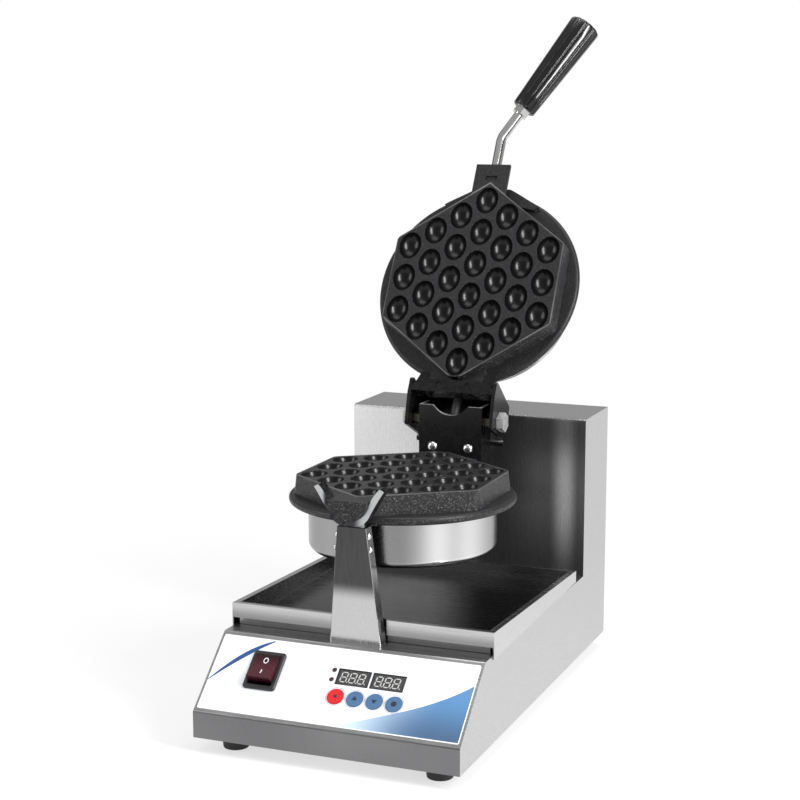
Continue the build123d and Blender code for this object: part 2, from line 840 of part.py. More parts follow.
# Hinge bracket: front plate with a round notch, two side returns with the pivot
# holes, and a stop pin each side under the arms of the open lid
bracket_top = pivot_z + 15.5
bracket_bottom = turn_height - 36
bracket_return = 27
notch_half_width = 18
notch_depth = 9.5
notch_radius = (notch_half_width**2 + notch_depth**2) / (2 * notch_depth)
stop_radius = 3
arm_points = [(-107, 1), (-124, 1), (-155, 9), (-151, 54), (-116, 50)]
stop_share = 0.93
edge_y = arm_points[2][0] + stop_share * (arm_points[3][0] - arm_points[2][0])
edge_z = arm_points[2][1] + stop_share * (arm_points[3][1] - arm_points[2][1])
stop_offset = stop_radius + near_gap
stop_centre = upper_half.from_local_coords((0, edge_y - stop_offset, edge_z))
lug_half_width = 28
lug_screw_spread = 30
lug_screw_radius = 3
lug_middle = face_gap / 2 + block_height - 1
with BuildPart() as hinge_bracket:
    with BuildSketch(facing_front(plate_y)) as plate_outline:
        with Locations((0, (bracket_top + bracket_bottom) / 2)):
            Rectangle(2 * bracket_half_width, bracket_top - bracket_bottom)
        with Locations((0, bracket_top - notch_depth + notch_radius)):
            Circle(notch_radius, mode=Mode.SUBTRACT)
        fillet(plate_outline.vertices().group_by(Axis.Y)[-1], 2.5)
        with Locations((0, turn_height)):
            with GridLocations(bracket_screw_spread, 0, 2, 1):
                Circle(bracket_screw_radius, mode=Mode.SUBTRACT)
        with Locations((0, turn_height - lug_middle)):
            with GridLocations(lug_screw_spread, 0, 2, 1):
                Circle(lug_screw_radius, mode=Mode.SUBTRACT)
    extrude(amount=-bracket_plate)
    for side in (-1, 1):
        wall_x = side * (bracket_half_width - bracket_plate / 2)
        with BuildSketch(Plane(origin=(wall_x, 0, 0), x_dir=(0, 1, 0), z_dir=(1, 0, 0))) as wall:
            with BuildLine():
                Polyline(
                    (plate_y, bracket_bottom),
                    (plate_y, bracket_top),
                    (pivot_y + 10, bracket_top),
                    (plate_y + bracket_return, pivot_z - 6),
                    (plate_y + bracket_return, bracket_bottom + 12),
                    (plate_y + bracket_return - 12, bracket_bottom),
                    close=True,
                )
            make_face()
            with Locations((pivot_y, pivot_z)):
                Circle(pivot_radius + running_gap / 4, mode=Mode.SUBTRACT)
        extrude(amount=bracket_plate / 2, both=True)
    with BuildSketch(Plane(origin=(0, 0, 0), x_dir=(0, 1, 0), z_dir=(1, 0, 0))):
        with Locations((stop_centre.Y, stop_centre.Z)):
            Circle(stop_radius)
    extrude(amount=yoke_half_width, both=True)
    with BuildSketch(Plane(origin=(0, 0, 0), x_dir=(0, 1, 0), z_dir=(1, 0, 0))):
        with Locations((stop_centre.Y, stop_centre.Z)):
            Circle(stop_radius + 1)
    extrude(amount=bracket_half_width - bracket_plate, both=True, mode=Mode.SUBTRACT)
hinge_bracket.part.label = "hinge_bracket"
export_step(hinge_bracket.part, "parts/hinge_bracket.step")

with BuildPart() as bracket_spacers:
    with BuildSketch(facing_back(plate_y + bracket_plate)):
        with Locations((0, turn_height)):
            with GridLocations(bracket_screw_spread, 0, 2, 1):
                Circle(5)
                Circle(bracket_screw_radius, mode=Mode.SUBTRACT)
    extrude(amount=spacer_length)
bracket_spacers.part.label = "bracket_spacers"
export_step(bracket_spacers.part, "parts/bracket_spacers.step")

bracket_screw = screw(5, 2.6, bracket_screw_radius - running_gap, bracket_plate + spacer_length + rotor_flange)
with BuildPart() as bracket_screws:
    with Locations(Plane(origin=(0, plate_y, turn_height), x_dir=(1, 0, 0), z_dir=(0, -1, 0))):
        with GridLocations(bracket_screw_spread, 0, 2, 1):
            add(bracket_screw)
bracket_screws.part.label = "bracket_screws"
export_step(bracket_screws.part, "parts/bracket_screws.step")

# Pivot bolts stand in the bracket, and the arms of the lid turn on them
bolt_head = 6.5
bolt_hex_radius = 10
bolt_reach = 6
with BuildPart() as hinge_bolts:
    for side in (-1, 1):
        outside = Plane(origin=(side * (yoke_half_width + near_gap), pivot_y, pivot_z), z_dir=(side, 0, 0))
        with BuildSketch(outside):
            RegularPolygon(bolt_hex_radius, 6)
        extrude(amount=bolt_head)
        with BuildSketch(outside):
            Circle(pivot_radius)
        extrude(amount=-(yoke_half_width + near_gap - bracket_half_width + bracket_plate + bolt_reach))
hinge_bolts.part.label = "hinge_bolts"
export_step(hinge_bolts.part, "parts/hinge_bolts.step")

with BuildPart() as hinge_nuts:
    for side in (-1, 1):
        with BuildSketch(Plane(origin=(side * bracket_half_width, pivot_y, pivot_z), z_dir=(side, 0, 0))):
            RegularPolygon(7.5, 6)
            Circle(pivot_radius + running_gap / 4, mode=Mode.SUBTRACT)
        extrude(amount=yoke_half_width - yoke_plate - bracket_half_width - near_gap)
hinge_nuts.part.label = "hinge_nuts"
export_step(hinge_nuts.part, "parts/hinge_nuts.step")

# Iron castings: round flange with a rolled rim, drafted six sided block with the
# egg shaped cells, half round neck and rear lug. Both halves share this form.
stud_radius = 4
stud_rise = 6
lug_inner = 9
key_pocket = (13, 5)
key_depth = 2
key_along = 114.5
rim_round = 3.4
flare_step = 0.8
flare_reach = 2.8
neck_root = 84
lug_root = 92
upper_lug_end = 119
lower_lug_end = plate_from_iron
probe_spot = (30, 0)
probe_radius = 3
probe_depth = 7
yoke_screw_along = -114


def block_section(half, depth, grow):
    """Six sided outline of the block at a depth, grown outwards by an amount."""
    slant = atan2(hex_tip - hex_corner, hex_half_width)
    side_x = hex_half_width + grow
    tip_y = hex_tip + grow / cos(slant)
    corner_y = tip_y - side_x * tan(slant)
    with BuildSketch(half.offset(depth)) as section:
        Polygon(
            (0, tip_y),
            (-side_x, corner_y),
            (-side_x, -corner_y),
            (0, -tip_y),
            (side_x, -corner_y),
            (side_x, corner_y),
            align=None,
        )
        ends = section.vertices().filter_by(lambda v: abs(v.X) < hex_half_width / 2)
        fillet(ends, hex_tip_round + grow)
        corners = section.vertices().filter_by(lambda v: abs(v.X) > hex_half_width / 2)
        fillet(corners, hex_corner_round + grow)
    return section.sketch


def cell_spots():
    """Centres of the cells: columns side by side, every other one half a step on."""
    spots = []
    for column in range(-columns_each_side, columns_each_side + 1):
        count = cells_in_middle - abs(column)
        for row in range(count):
            spots.append((column * cell_pitch_x, (row - (count - 1) / 2) * cell_pitch_y))
    return spots


def egg_cell():
    """Solid whose lower half is one cell: an ellipse turned about its long axis."""
    with BuildPart() as egg:
        with BuildSketch(Plane.XY):
            Ellipse(cell_width / 2, cell_length / 2)
            with Locations((-cell_width / 2, 0)):
                Rectangle(cell_width, cell_length * 2, mode=Mode.SUBTRACT)
        revolve(axis=Axis.Y)
    return egg.part


def iron_casting(half, lug_end):
    """One half of the iron, with its meeting face near the origin of the half."""
    top = face_gap / 2
    block_end = top + block_height
    egg = egg_cell()
    with BuildPart() as casting:
        with BuildSketch(half.offset(block_end)):
            Circle(flange_radius)
        extrude(amount=flange_thickness)
        fillet(casting.edges().filter_by(GeomType.CIRCLE), rim_round)
        draft_growth = block_height * tan(radians(wall_draft))
        loft([block_section(half, top, 0), block_section(half, block_end, draft_growth)])
        with BuildSketch(half.offset(block_end + flare_step)) as flare:
            Circle(flange_radius - rim_round)
            with Locations((0, flange_radius)):
                Rectangle(2 * neck_radius, 2 * flare_reach)
            meetings = flare.vertices().filter_by(lambda v: v.Y > flange_radius / 2)
            fillet(meetings.group_by(Axis.Y)[0], neck_flare)
        extrude(amount=flange_thickness - 2 * flare_step)
        with BuildSketch(across_neck(half, neck_root)):
            Circle(neck_radius)
            with Locations((0, neck_radius - top)):
                Rectangle(2 * neck_radius, 2 * neck_radius, mode=Mode.SUBTRACT)
        extrude(amount=neck_end - neck_root)
        with BuildSketch(half.offset(lug_inner)):
            with Locations((0, -(lug_root + lug_end) / 2)):
                Rectangle(2 * lug_half_width, lug_end - lug_root)
        extrude(amount=flange_back - lug_inner)
        with BuildSketch(half.offset(flange_back)):
            Circle(stud_radius)
        extrude(amount=cover_height + stud_rise)
        with Locations(half.offset(-cell_lift)):
            with Locations(*cell_spots()):
                add(egg, mode=Mode.SUBTRACT)
    return casting


with BuildPart() as lower_mould:
    add(iron_casting(lower_half, lower_lug_end).part)
    with BuildSketch(facing_front(plate_y)):
        with Locations((0, turn_height - lug_middle)):
            with GridLocations(lug_screw_spread, 0, 2, 1):
                Circle(lug_screw_radius)
    extrude(amount=18, mode=Mode.SUBTRACT)
    with BuildSketch(lower_half.offset(flange_back)):
        with Locations(probe_spot):
            Circle(probe_radius + running_gap)
    extrude(amount=-probe_depth, mode=Mode.SUBTRACT)
lower_mould.part.label = "lower_mould"
export_step(lower_mould.part, "parts/lower_mould.step")

with BuildPart() as upper_mould:
    add(iron_casting(upper_half, upper_lug_end).part)
    with BuildSketch(across_neck(upper_half, neck_end)):
        with Locations((0, -rod_out)):
            Circle(rod_radius + running_gap / 4)
    extrude(amount=-rod_socket, mode=Mode.SUBTRACT)
    with BuildSketch(upper_half.offset(face_gap / 2)):
        with Locations((0, key_along)):
            Rectangle(*key_pocket)
    extrude(amount=key_depth, mode=Mode.SUBTRACT)
    with BuildSketch(upper_half.offset(flange_back)):
        with Locations((0, yoke_screw_along)):
            with GridLocations(lug_screw_spread, 0, 2, 1):
                Circle(lug_screw_radius)
    extrude(amount=-flange_back, mode=Mode.SUBTRACT)
upper_mould.part.label = "upper_mould"
export_step(upper_mould.part, "parts/upper_mould.step")

lug_screw = screw(5, 3, lug_screw_radius - running_gap, bracket_plate + 16)
with BuildPart() as lug_screws:
    with Locations(Plane(origin=(0, plate_y + bracket_plate, turn_height - lug_middle),
                         x_dir=(1, 0, 0), z_dir=(0, 1, 0))):
        with GridLocations(lug_screw_spread, 0, 2, 1):
            add(lug_screw)
lug_screws.part.label = "lug_screws"
export_step(lug_screws.part, "parts/lug_screws.step")


# Pressed covers over the back of each half, with what lies inside them
def pressed_cover(half, lead_hole):
    """Deep drawn cup: straight wall, round shoulder and a hole for the stud."""
    with BuildPart() as cup:
        with BuildSketch(half.offset(flange_back)):
            Circle(cover_radius)
        extrude(amount=cover_height)
        fillet(cup.faces().sort_by(Axis(half.origin, half.z_dir))[-1].edges(), cover_round)
        mouth = cup.faces().sort_by(Axis(half.origin, half.z_dir))[0]
        offset(amount=-cover_sheet, openings=mouth)
        with BuildSketch(half.offset(flange_back)):
            Circle(stud_radius + near_gap)
        extrude(amount=cover_height, mode=Mode.SUBTRACT)
        with BuildSketch(across_neck(half, -cover_radius + 2 * cover_round)):
            with Locations((0, -lead_out)):
                Circle(lead_hole)
        extrude(amount=-3 * cover_round, mode=Mode.SUBTRACT)
    return cup


def ring_heater(half):
    """Sheathed heating ring with its two ends turned up."""
    ring_z = flange_back + heater_radius + running_gap
    with BuildPart() as ring:
        with BuildSketch(Plane(origin=half.origin, x_dir=half.x_dir, z_dir=half.y_dir)):
            with Locations((heater_ring, -ring_z)):
                Circle(heater_radius)
        revolve(axis=Axis(half.origin, half.z_dir), revolution_arc=heater_sweep)
        for turn in (0, heater_sweep):
            with BuildSketch(half.offset(ring_z)):
                with Locations((heater_ring * cos(radians(turn)), heater_ring * sin(radians(turn)))):
                    Circle(heater_radius)
            extrude(amount=heater_ends)
    return ring


def insulation_pad(half):
    """Mineral fibre disc between the heating ring and the cover."""
    with BuildPart() as disc:
        with BuildSketch(half.offset(cover_end - cover_sheet - near_gap - pad_thickness)):
            Circle(cover_radius - 2 * cover_sheet - cover_round)
            Circle(stud_radius + 2, mode=Mode.SUBTRACT)
        extrude(amount=pad_thickness)
    return disc


def dome_nut(half):
    """Acorn nut that holds the cover on its stud."""
    with BuildPart() as nut:
        with BuildSketch(half.offset(cover_end)):
            RegularPolygon(7.5, 6)
        extrude(amount=5)
        with BuildSketch(half.offset(cover_end + 5)):
            Circle(6)
        extrude(amount=4.5)
        fillet(nut.faces().sort_by(Axis(half.origin, half.z_dir))[-1].edges(), 3.5)
        with BuildSketch(half.offset(cover_end)):
            Circle(stud_radius + running_gap / 4)
        extrude(amount=stud_rise, mode=Mode.SUBTRACT)
    return nut


lower_cover = pressed_cover(lower_half, lower_lead_radius + near_gap)
lower_cover.part.label = "lower_cover"
export_step(lower_cover.part, "parts/lower_cover.step")

upper_cover = pressed_cover(upper_half, lid_cable_radius + near_gap)
upper_cover.part.label = "upper_cover"
export_step(upper_cover.part, "parts/upper_cover.step")

lower_heater = ring_heater(lower_half)
lower_heater.part.label = "lower_heater"
export_step(lower_heater.part, "parts/lower_heater.step")

upper_heater = ring_heater(upper_half)
upper_heater.part.label = "upper_heater"
export_step(upper_heater.part, "parts/upper_heater.step")

lower_insulation = insulation_pad(lower_half)
lower_insulation.part.label = "lower_insulation"
export_step(lower_insulation.part, "parts/lower_insulation.step")

upper_insulation = insulation_pad(upper_half)
upper_insulation.part.label = "upper_insulation"
export_step(upper_insulation.part, "parts/upper_insulation.step")

lower_cover_nut = dome_nut(lower_half)
lower_cover_nut.part.label = "lower_cover_nut"
export_step(lower_cover_nut.part, "parts/lower_cover_nut.step")

upper_cover_nut = dome_nut(upper_half)
upper_cover_nut.part.label = "upper_cover_nut"
export_step(upper_cover_nut.part, "parts/upper_cover_nut.step")

with BuildPart() as temperature_probe:
    with BuildSketch(lower_half.offset(flange_back - probe_depth)):
        with Locations(probe_spot):
            Circle(probe_radius)
    extrude(amount=probe_depth + 10)
temperature_probe.part.label = "temperature_probe"
export_step(temperature_probe.part, "parts/temperature_probe.step")

# Yoke of the lid: web under the rear lug and two arms that turn on the bolts
with BuildPart() as lid_yoke:
    with BuildSketch(upper_half.offset(web_start)):
        with BuildLine():
            Polyline(
                (-web_front_half, -web_front),
                (web_front_half, -web_front),
                (yoke_half_width, -web_back),
                (-yoke_half_width, -web_back),
                close=True,
            )
        make_face()
        with Locations((0, yoke_screw_along)):
            with GridLocations(lug_screw_spread, 0, 2, 1):
                Circle(lug_screw_radius, mode=Mode.SUBTRACT)
    extrude(amount=lug_inner - web_start)
    for side in (-1, 1):
        with BuildSketch(beside_iron(upper_half, side * (yoke_half_width - yoke_plate / 2))) as arm:
            with BuildLine():
                Polyline(*arm_points, close=True)
            make_face()
            fillet(arm.vertices(), arm_round)
            with Locations((-pivot_back, pivot_up)):
                Circle(pivot_radius + running_gap, mode=Mode.SUBTRACT)
        extrude(amount=yoke_plate / 2, both=True)
lid_yoke.part.label = "lid_yoke"
export_step(lid_yoke.part, "parts/lid_yoke.step")

yoke_screw = screw(5, 3, lug_screw_radius - running_gap, flange_back - web_start - 1)
with BuildPart() as yoke_screws:
    with Locations(upper_half.offset(flange_back)):
        with Locations((0, yoke_screw_along)):
            with GridLocations(lug_screw_spread, 0, 2, 1):
                add(yoke_screw)
yoke_screws.part.label = "yoke_screws"
export_step(yoke_screws.part, "parts/yoke_screws.step")

# Handle: bent rod in the neck, lock nut and a tapered fluted grip
rod_start = neck_end - rod_socket
rod_bend = neck_end + rod_straight
rod_turn = radians(rod_bend_angle)
rod_end_reach = rod_reach + 20
rod_level = upper_half.offset(rod_out)
rod_bend_point = (0, rod_bend)
rod_tip_point = (-rod_end_reach * sin(rod_turn), rod_bend + rod_end_reach * cos(rod_turn))
with BuildPart() as handle_rod:
    with BuildLine(rod_level) as rod_line:
        FilletPolyline((0, rod_start), rod_bend_point, rod_tip_point, radius=rod_bend_radius)
    with BuildSketch(Plane(origin=rod_level.from_local_coords((0, rod_start, 0)),
                           x_dir=upper_half.x_dir, z_dir=upper_half.y_dir)):
        Circle(rod_radius)
    sweep()
handle_rod.part.label = "handle_rod"
export_step(handle_rod.part, "parts/handle_rod.step")

grip_way = upper_half.y_dir * cos(rod_turn) - upper_half.x_dir * sin(rod_turn)
grip_axis_x = upper_half.x_dir * cos(rod_turn) + upper_half.y_dir * sin(rod_turn)
bend_place = rod_level.from_local_coords((0, rod_bend, 0))


def grip_plane(along):
    """Plane square to the grip, a distance past the bend of the rod."""
    return Plane(origin=bend_place + grip_way * along, x_dir=grip_axis_x, z_dir=grip_way)


with BuildPart() as handle_nut:
    with BuildSketch(grip_plane(rod_reach)):
        RegularPolygon(handle_nut_radius, 6)
        Circle(rod_radius + running_gap / 4, mode=Mode.SUBTRACT)
    extrude(amount=handle_nut_height)
handle_nut.part.label = "handle_nut"
export_step(handle_nut.part, "parts/handle_nut.step")

grip_start = rod_reach + handle_nut_height


def fluted_section(along, radius):
    """Round section of the grip with the flutes cut into it."""
    with BuildSketch(grip_plane(along)) as section:
        Circle(radius)
        with PolarLocations(radius + flute_rise, grip_flutes):
            Circle(flute_radius, mode=Mode.SUBTRACT)
    return section.sketch


with BuildPart() as handle_grip:
    small_end = fluted_section(grip_start, grip_small_radius)
    large_end = fluted_section(grip_start + grip_length, grip_large_radius)
    loft([small_end, large_end], ruled=True)
    with BuildSketch(Plane(origin=bend_place + grip_way * grip_start, x_dir=grip_axis_x,
                           z_dir=rod_level.z_dir)):
        with BuildLine():
            Line((0, 0), (grip_small_radius - 2, 0))
            ThreePointArc((grip_small_radius - 2, 0), (grip_small_radius - 0.5, 0.6), (grip_small_radius, 2.5))
            Line((grip_small_radius, 2.5), (grip_large_radius, grip_length - 12))
            ThreePointArc(
                (grip_large_radius, grip_length - 12),
                (grip_large_radius * 0.72, grip_length - 3),
                (0, grip_length),
            )
            Line((0, grip_length), (0, 0))
        make_face()
    revolve(axis=Axis(bend_place + grip_way * grip_start, grip_way), mode=Mode.INTERSECT)
    with BuildSketch(grip_plane(grip_start)):
        Circle(rod_radius + running_gap / 4)
    extrude(amount=rod_end_reach - grip_start + near_gap, mode=Mode.SUBTRACT)
handle_grip.part.label = "handle_grip"
export_step(handle_grip.part, "parts/handle_grip.step")

# Wiring held between the hollow shaft and the two halves
lead_turn_y = plate_y + bracket_plate + spacer_length / 2
lid_lead_z = turn_height + shaft_bore - lid_cable_radius - near_gap
cover_entry = upper_half.from_local_coords((0, -cover_radius + 3, lead_out))
cover_way = upper_half.from_local_coords((0, -cover_radius - 14, lead_out))
over_lug = upper_half.from_local_coords((0, -upper_lug_end - 3, flange_back + 9))
with BuildPart() as lid_cable:
    with BuildLine() as cable_line:
        FilletPolyline(
            (0, rotor_back + 20, lid_lead_z),
            (0, lead_turn_y, lid_lead_z),
            (0, lead_turn_y, pivot_z + 4),
            (0, over_lug.Y, over_lug.Z),
            (0, cover_way.Y, cover_way.Z),
            (0, cover_entry.Y, cover_entry.Z),
            radius=lead_bend,
        )
    with BuildSketch(facing_front(rotor_back + 20)):
        with Locations((0, lid_lead_z)):
            Circle(lid_cable_radius)
    sweep()
lid_cable.part.label = "lid_cable"
export_step(lid_cable.part, "parts/lid_cable.step")

# Column: tapered channel folded from sheet, open to the rear, leaning forwards
def column_section(level, width, front):
    """Outline of the folded channel at one level."""
    with BuildSketch(Plane.XY.offset(level)) as section:
        with Locations((0, front + column_depth / 2)):
            Rectangle(width, column_depth)
    return section.sketch


with BuildPart() as front_column:
    outer_foot = column_section(deck_z, column_foot_width, column_front)
    outer_top = column_section(column_top, column_top_width, column_front - column_lean)
    loft([outer_foot, outer_top], ruled=True)
    front_bends = front_column.edges().filter_by(lambda e: e.length > column_foot_width)
    fillet(front_bends.sort_by(Axis.Y)[:2], column_bend)
    inner_foot = column_section(deck_z, column_foot_width - 2 * column_sheet, column_front + column_sheet)
    inner_top = column_section(
        column_top,
        column_top_width - 2 * column_sheet,
        column_front - column_lean + column_sheet,
    )
    loft([inner_foot, inner_top], ruled=True, mode=Mode.SUBTRACT)
    with BuildSketch(Plane.XY.offset(deck_z)):
        with Locations((0, column_front + column_depth / 2)):
            Rectangle(column_foot_width - 2 * column_sheet, column_depth)
    extrude(amount=column_sheet)
    with BuildSketch(Plane.XY.offset(deck_z)):
        with Locations((0, column_screw_y)):
            with GridLocations(column_screw_spread, 0, 2, 1):
                Circle(column_screw_radius)
    extrude(amount=column_sheet, mode=Mode.SUBTRACT)
    with BuildSketch(Plane.YZ):
        with Locations(*cradle_screw_spots):
            Circle(cradle_screw_radius)
    extrude(amount=column_foot_width / 2, both=True, mode=Mode.SUBTRACT)
front_column.part.label = "front_column"
export_step(front_column.part, "parts/front_column.step")

column_screw = screw(3.5, 2.2, column_screw_radius - running_gap, column_sheet + sheet + 4)
with BuildPart() as column_screws:
    with Locations((0, column_screw_y, deck_z + column_sheet)):
        with GridLocations(column_screw_spread, 0, 2, 1):
            add(column_screw)
column_screws.part.label = "column_screws"
export_step(column_screws.part, "parts/column_screws.step")

# Cradle: cast saddle with two flared horns and a web held inside the column
saddle_radius = neck_radius + near_gap
cradle_front = column_front - column_lean - 4.5
horn_top = turn_height + cradle_horn_rise
web_depth = cradle_front + cradle_depth - (column_front - column_lean + column_sheet + near_gap)
web_length = 30


def cradle_side(side):
    """Outline of one flared horn, drawn as seen from the front."""
    inner_foot = (side * saddle_radius * cos(radians(20)), -saddle_radius * sin(radians(20)))
    with BuildLine() as horn:
        ThreePointArc(
            (0, -saddle_radius),
            (side * saddle_radius * cos(radians(52)), -saddle_radius * sin(radians(52))),
            inner_foot,
        )
        ThreePointArc(
            inner_foot,
            (side * (saddle_radius + 3), 3),
            (side * (cradle_horn_spread - 4), cradle_horn_rise),
        )
        Line((side * (cradle_horn_spread - 4), cradle_horn_rise), (side * cradle_horn_spread, cradle_horn_rise - 2))
        ThreePointArc(
            (side * cradle_horn_spread, cradle_horn_rise - 2),
            (side * (saddle_radius + cradle_wall + 1), -4),
            (side * saddle_radius, -saddle_radius * 0.75),
        )
        ThreePointArc(
            (side * saddle_radius, -saddle_radius * 0.75),
            (side * saddle_radius * 0.62, -saddle_radius - cradle_wall * 0.55),
            (0, -saddle_radius - cradle_wall),
        )
        Line((0, -saddle_radius - cradle_wall), (0, -saddle_radius))
    make_face(horn.edges())


def cradle_web(level):
    """Section of the web that stands inside the column, at one level."""
    lean = column_lean * (level - deck_z) / (column_top - deck_z)
    with BuildSketch(Plane.XY.offset(level)) as section:
        with Locations((0, column_front - lean + column_sheet + near_gap + web_depth / 2)):
            Rectangle(column_top_width - 2 * column_sheet - 2 * near_gap, web_depth)
    return section.sketch


with BuildPart() as cradle:
    with BuildSketch(Plane(origin=(0, cradle_front, turn_height), x_dir=(1, 0, 0), z_dir=(0, -1, 0))):
        cradle_side(1)
        cradle_side(-1)
    extrude(amount=-cradle_depth)
    loft([cradle_web(column_top - web_length), cradle_web(column_top)], ruled=True)
    extrude(cradle_web(column_top), amount=cradle_wall)
    with BuildSketch(Plane.YZ):
        with Locations(*cradle_screw_spots):
            Circle(cradle_screw_radius)
    extrude(amount=column_foot_width / 2, both=True, mode=Mode.SUBTRACT)
cradle.part.label = "cradle"
export_step(cradle.part, "parts/cradle.step")

side_head = 3.5
side_screw = screw(side_head, 2, cradle_screw_radius - running_gap, 9)
column_slope = (column_foot_width - column_top_width) / 2 / (column_top - deck_z)
with BuildPart() as cradle_screws:
    for side in (-1, 1):
        for y, z in cradle_screw_spots:
            reach = column_top_width / 2 + (column_top - z + side_head) * column_slope
            with Locations(Plane(origin=(side * reach, y, z), z_dir=(side, 0, 0))):
                add(side_screw)
cradle_screws.part.label = "cradle_screws"
export_step(cradle_screws.part, "parts/cradle_screws.step")

# Drip tray: pan with a flat rim, folded skirts outside the base and a notch
# for the column
tray_y = front_y + tray_front
tray_back = tray_y + tray_length
tray_half = half_width + near_gap + tray_sheet
pan_half = tray_half - tray_rim
tray_floor = deck_z + near_gap
tray_notch_half = column_foot_width / 2 + 1.5


def tray_side(low_front, low_back, drop, trim):
    """Side outline of the tray between a low edge and its sloping top edge."""
    with BuildSketch(Plane.YZ) as side:
        with BuildLine():
            Polyline(
                (tray_y + trim, low_front),
                (tray_y + trim, deck_z + tray_front_height - drop),
                (tray_back - trim, deck_z + tray_rear_height - drop),
                (tray_back - trim, low_back),
                close=True,
            )
        make_face()
    return side.sketch


skirt_low = deck_z - skirt_drop
skirt_high = deck_z + 2
under = deck_z - 4 * skirt_drop
over = deck_z + 2 * tray_front_height
with BuildPart() as drip_tray:
    extrude(tray_side(skirt_low, skirt_high, 0, 0), amount=tray_half, both=True)
    below = tray_side(under, under, tray_sheet, tray_sheet)
    extrude(below, amount=tray_half - tray_sheet, both=True, mode=Mode.SUBTRACT)
    with BuildSketch(Plane.XY.offset(deck_z + tray_front_height - tray_fold)):
        with Locations((0, tray_y)):
            Rectangle(2 * (tray_half - tray_sheet), 4 * tray_sheet)
    extrude(amount=-tray_fold - skirt_drop, mode=Mode.SUBTRACT)
    extrude(tray_side(tray_floor, tray_floor, 0, tray_rim), amount=pan_half, both=True)
    with BuildSketch(Plane.YZ):
        with BuildLine():
            Polyline(
                (tray_y + tray_rim + tray_sheet, tray_floor + tray_sheet),
                (tray_y + tray_rim + tray_sheet, over),
                (tray_back - tray_rim - tray_sheet, over),
                (tray_back - tray_rim - tray_sheet, tray_floor + tray_sheet),
                close=True,
            )
        make_face()
    extrude(amount=pan_half - tray_sheet, both=True, mode=Mode.SUBTRACT)
    with BuildSketch(Plane.XY.offset(under)):
        with Locations((0, tray_y)):
            Rectangle(2 * tray_notch_half, 2 * (tray_rim - near_gap))
    extrude(amount=over - under, mode=Mode.SUBTRACT)
drip_tray.part.label = "drip_tray"
export_step(drip_tray.part, "parts/drip_tray.step")
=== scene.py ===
from math import atan2, cos, pi, radians, sin

import bmesh
import bpy
from mathutils import Matrix, Vector


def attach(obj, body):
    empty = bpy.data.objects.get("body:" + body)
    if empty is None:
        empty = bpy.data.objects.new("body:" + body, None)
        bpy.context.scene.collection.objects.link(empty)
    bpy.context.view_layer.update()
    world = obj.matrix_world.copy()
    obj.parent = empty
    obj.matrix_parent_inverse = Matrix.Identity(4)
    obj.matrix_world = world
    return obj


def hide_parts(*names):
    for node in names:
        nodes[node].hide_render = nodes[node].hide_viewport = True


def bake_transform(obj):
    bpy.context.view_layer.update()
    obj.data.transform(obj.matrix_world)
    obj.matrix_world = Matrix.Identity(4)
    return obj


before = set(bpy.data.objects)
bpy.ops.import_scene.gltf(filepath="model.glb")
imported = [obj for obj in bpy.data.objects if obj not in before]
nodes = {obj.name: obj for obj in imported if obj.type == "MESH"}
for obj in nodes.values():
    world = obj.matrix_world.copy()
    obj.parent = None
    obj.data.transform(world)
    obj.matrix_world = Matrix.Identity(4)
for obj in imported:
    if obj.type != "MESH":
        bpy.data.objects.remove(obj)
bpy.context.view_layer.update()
scene = bpy.context.scene
scene.view_settings.view_transform = "Standard"


# --------------------------------------------------- places on the iron halves
millimetre = 0.001
turn_height, iron_y = 226.0, -35.5
pivot = Vector((0, 105, 252.4))
pivot_along, pivot_depth = -140.5, 26.4
open_angle = radians(119.7)
lid_along = Vector((0, -cos(open_angle), sin(open_angle)))
lid_away = Vector((0, sin(open_angle), cos(open_angle)))
lid_origin = pivot - lid_along * pivot_along - lid_away * pivot_depth


def on_lid(x, along, depth):
    """A point of the open lid: along runs to the neck, depth away from its face."""
    return (lid_origin + Vector((x, 0, 0)) + lid_along * along + lid_away * depth) * millimetre


# ---------------------------------------------------------------- materials
along_x, along_z, even = (0.02, 1, 1), (1, 1, 0.02), (1, 1, 1)
# normal Y range of faces to the front, which get painted reflection and shade tones
front_facing = (-0.9, -0.6)


def grey(level):
    return (level, level, level)


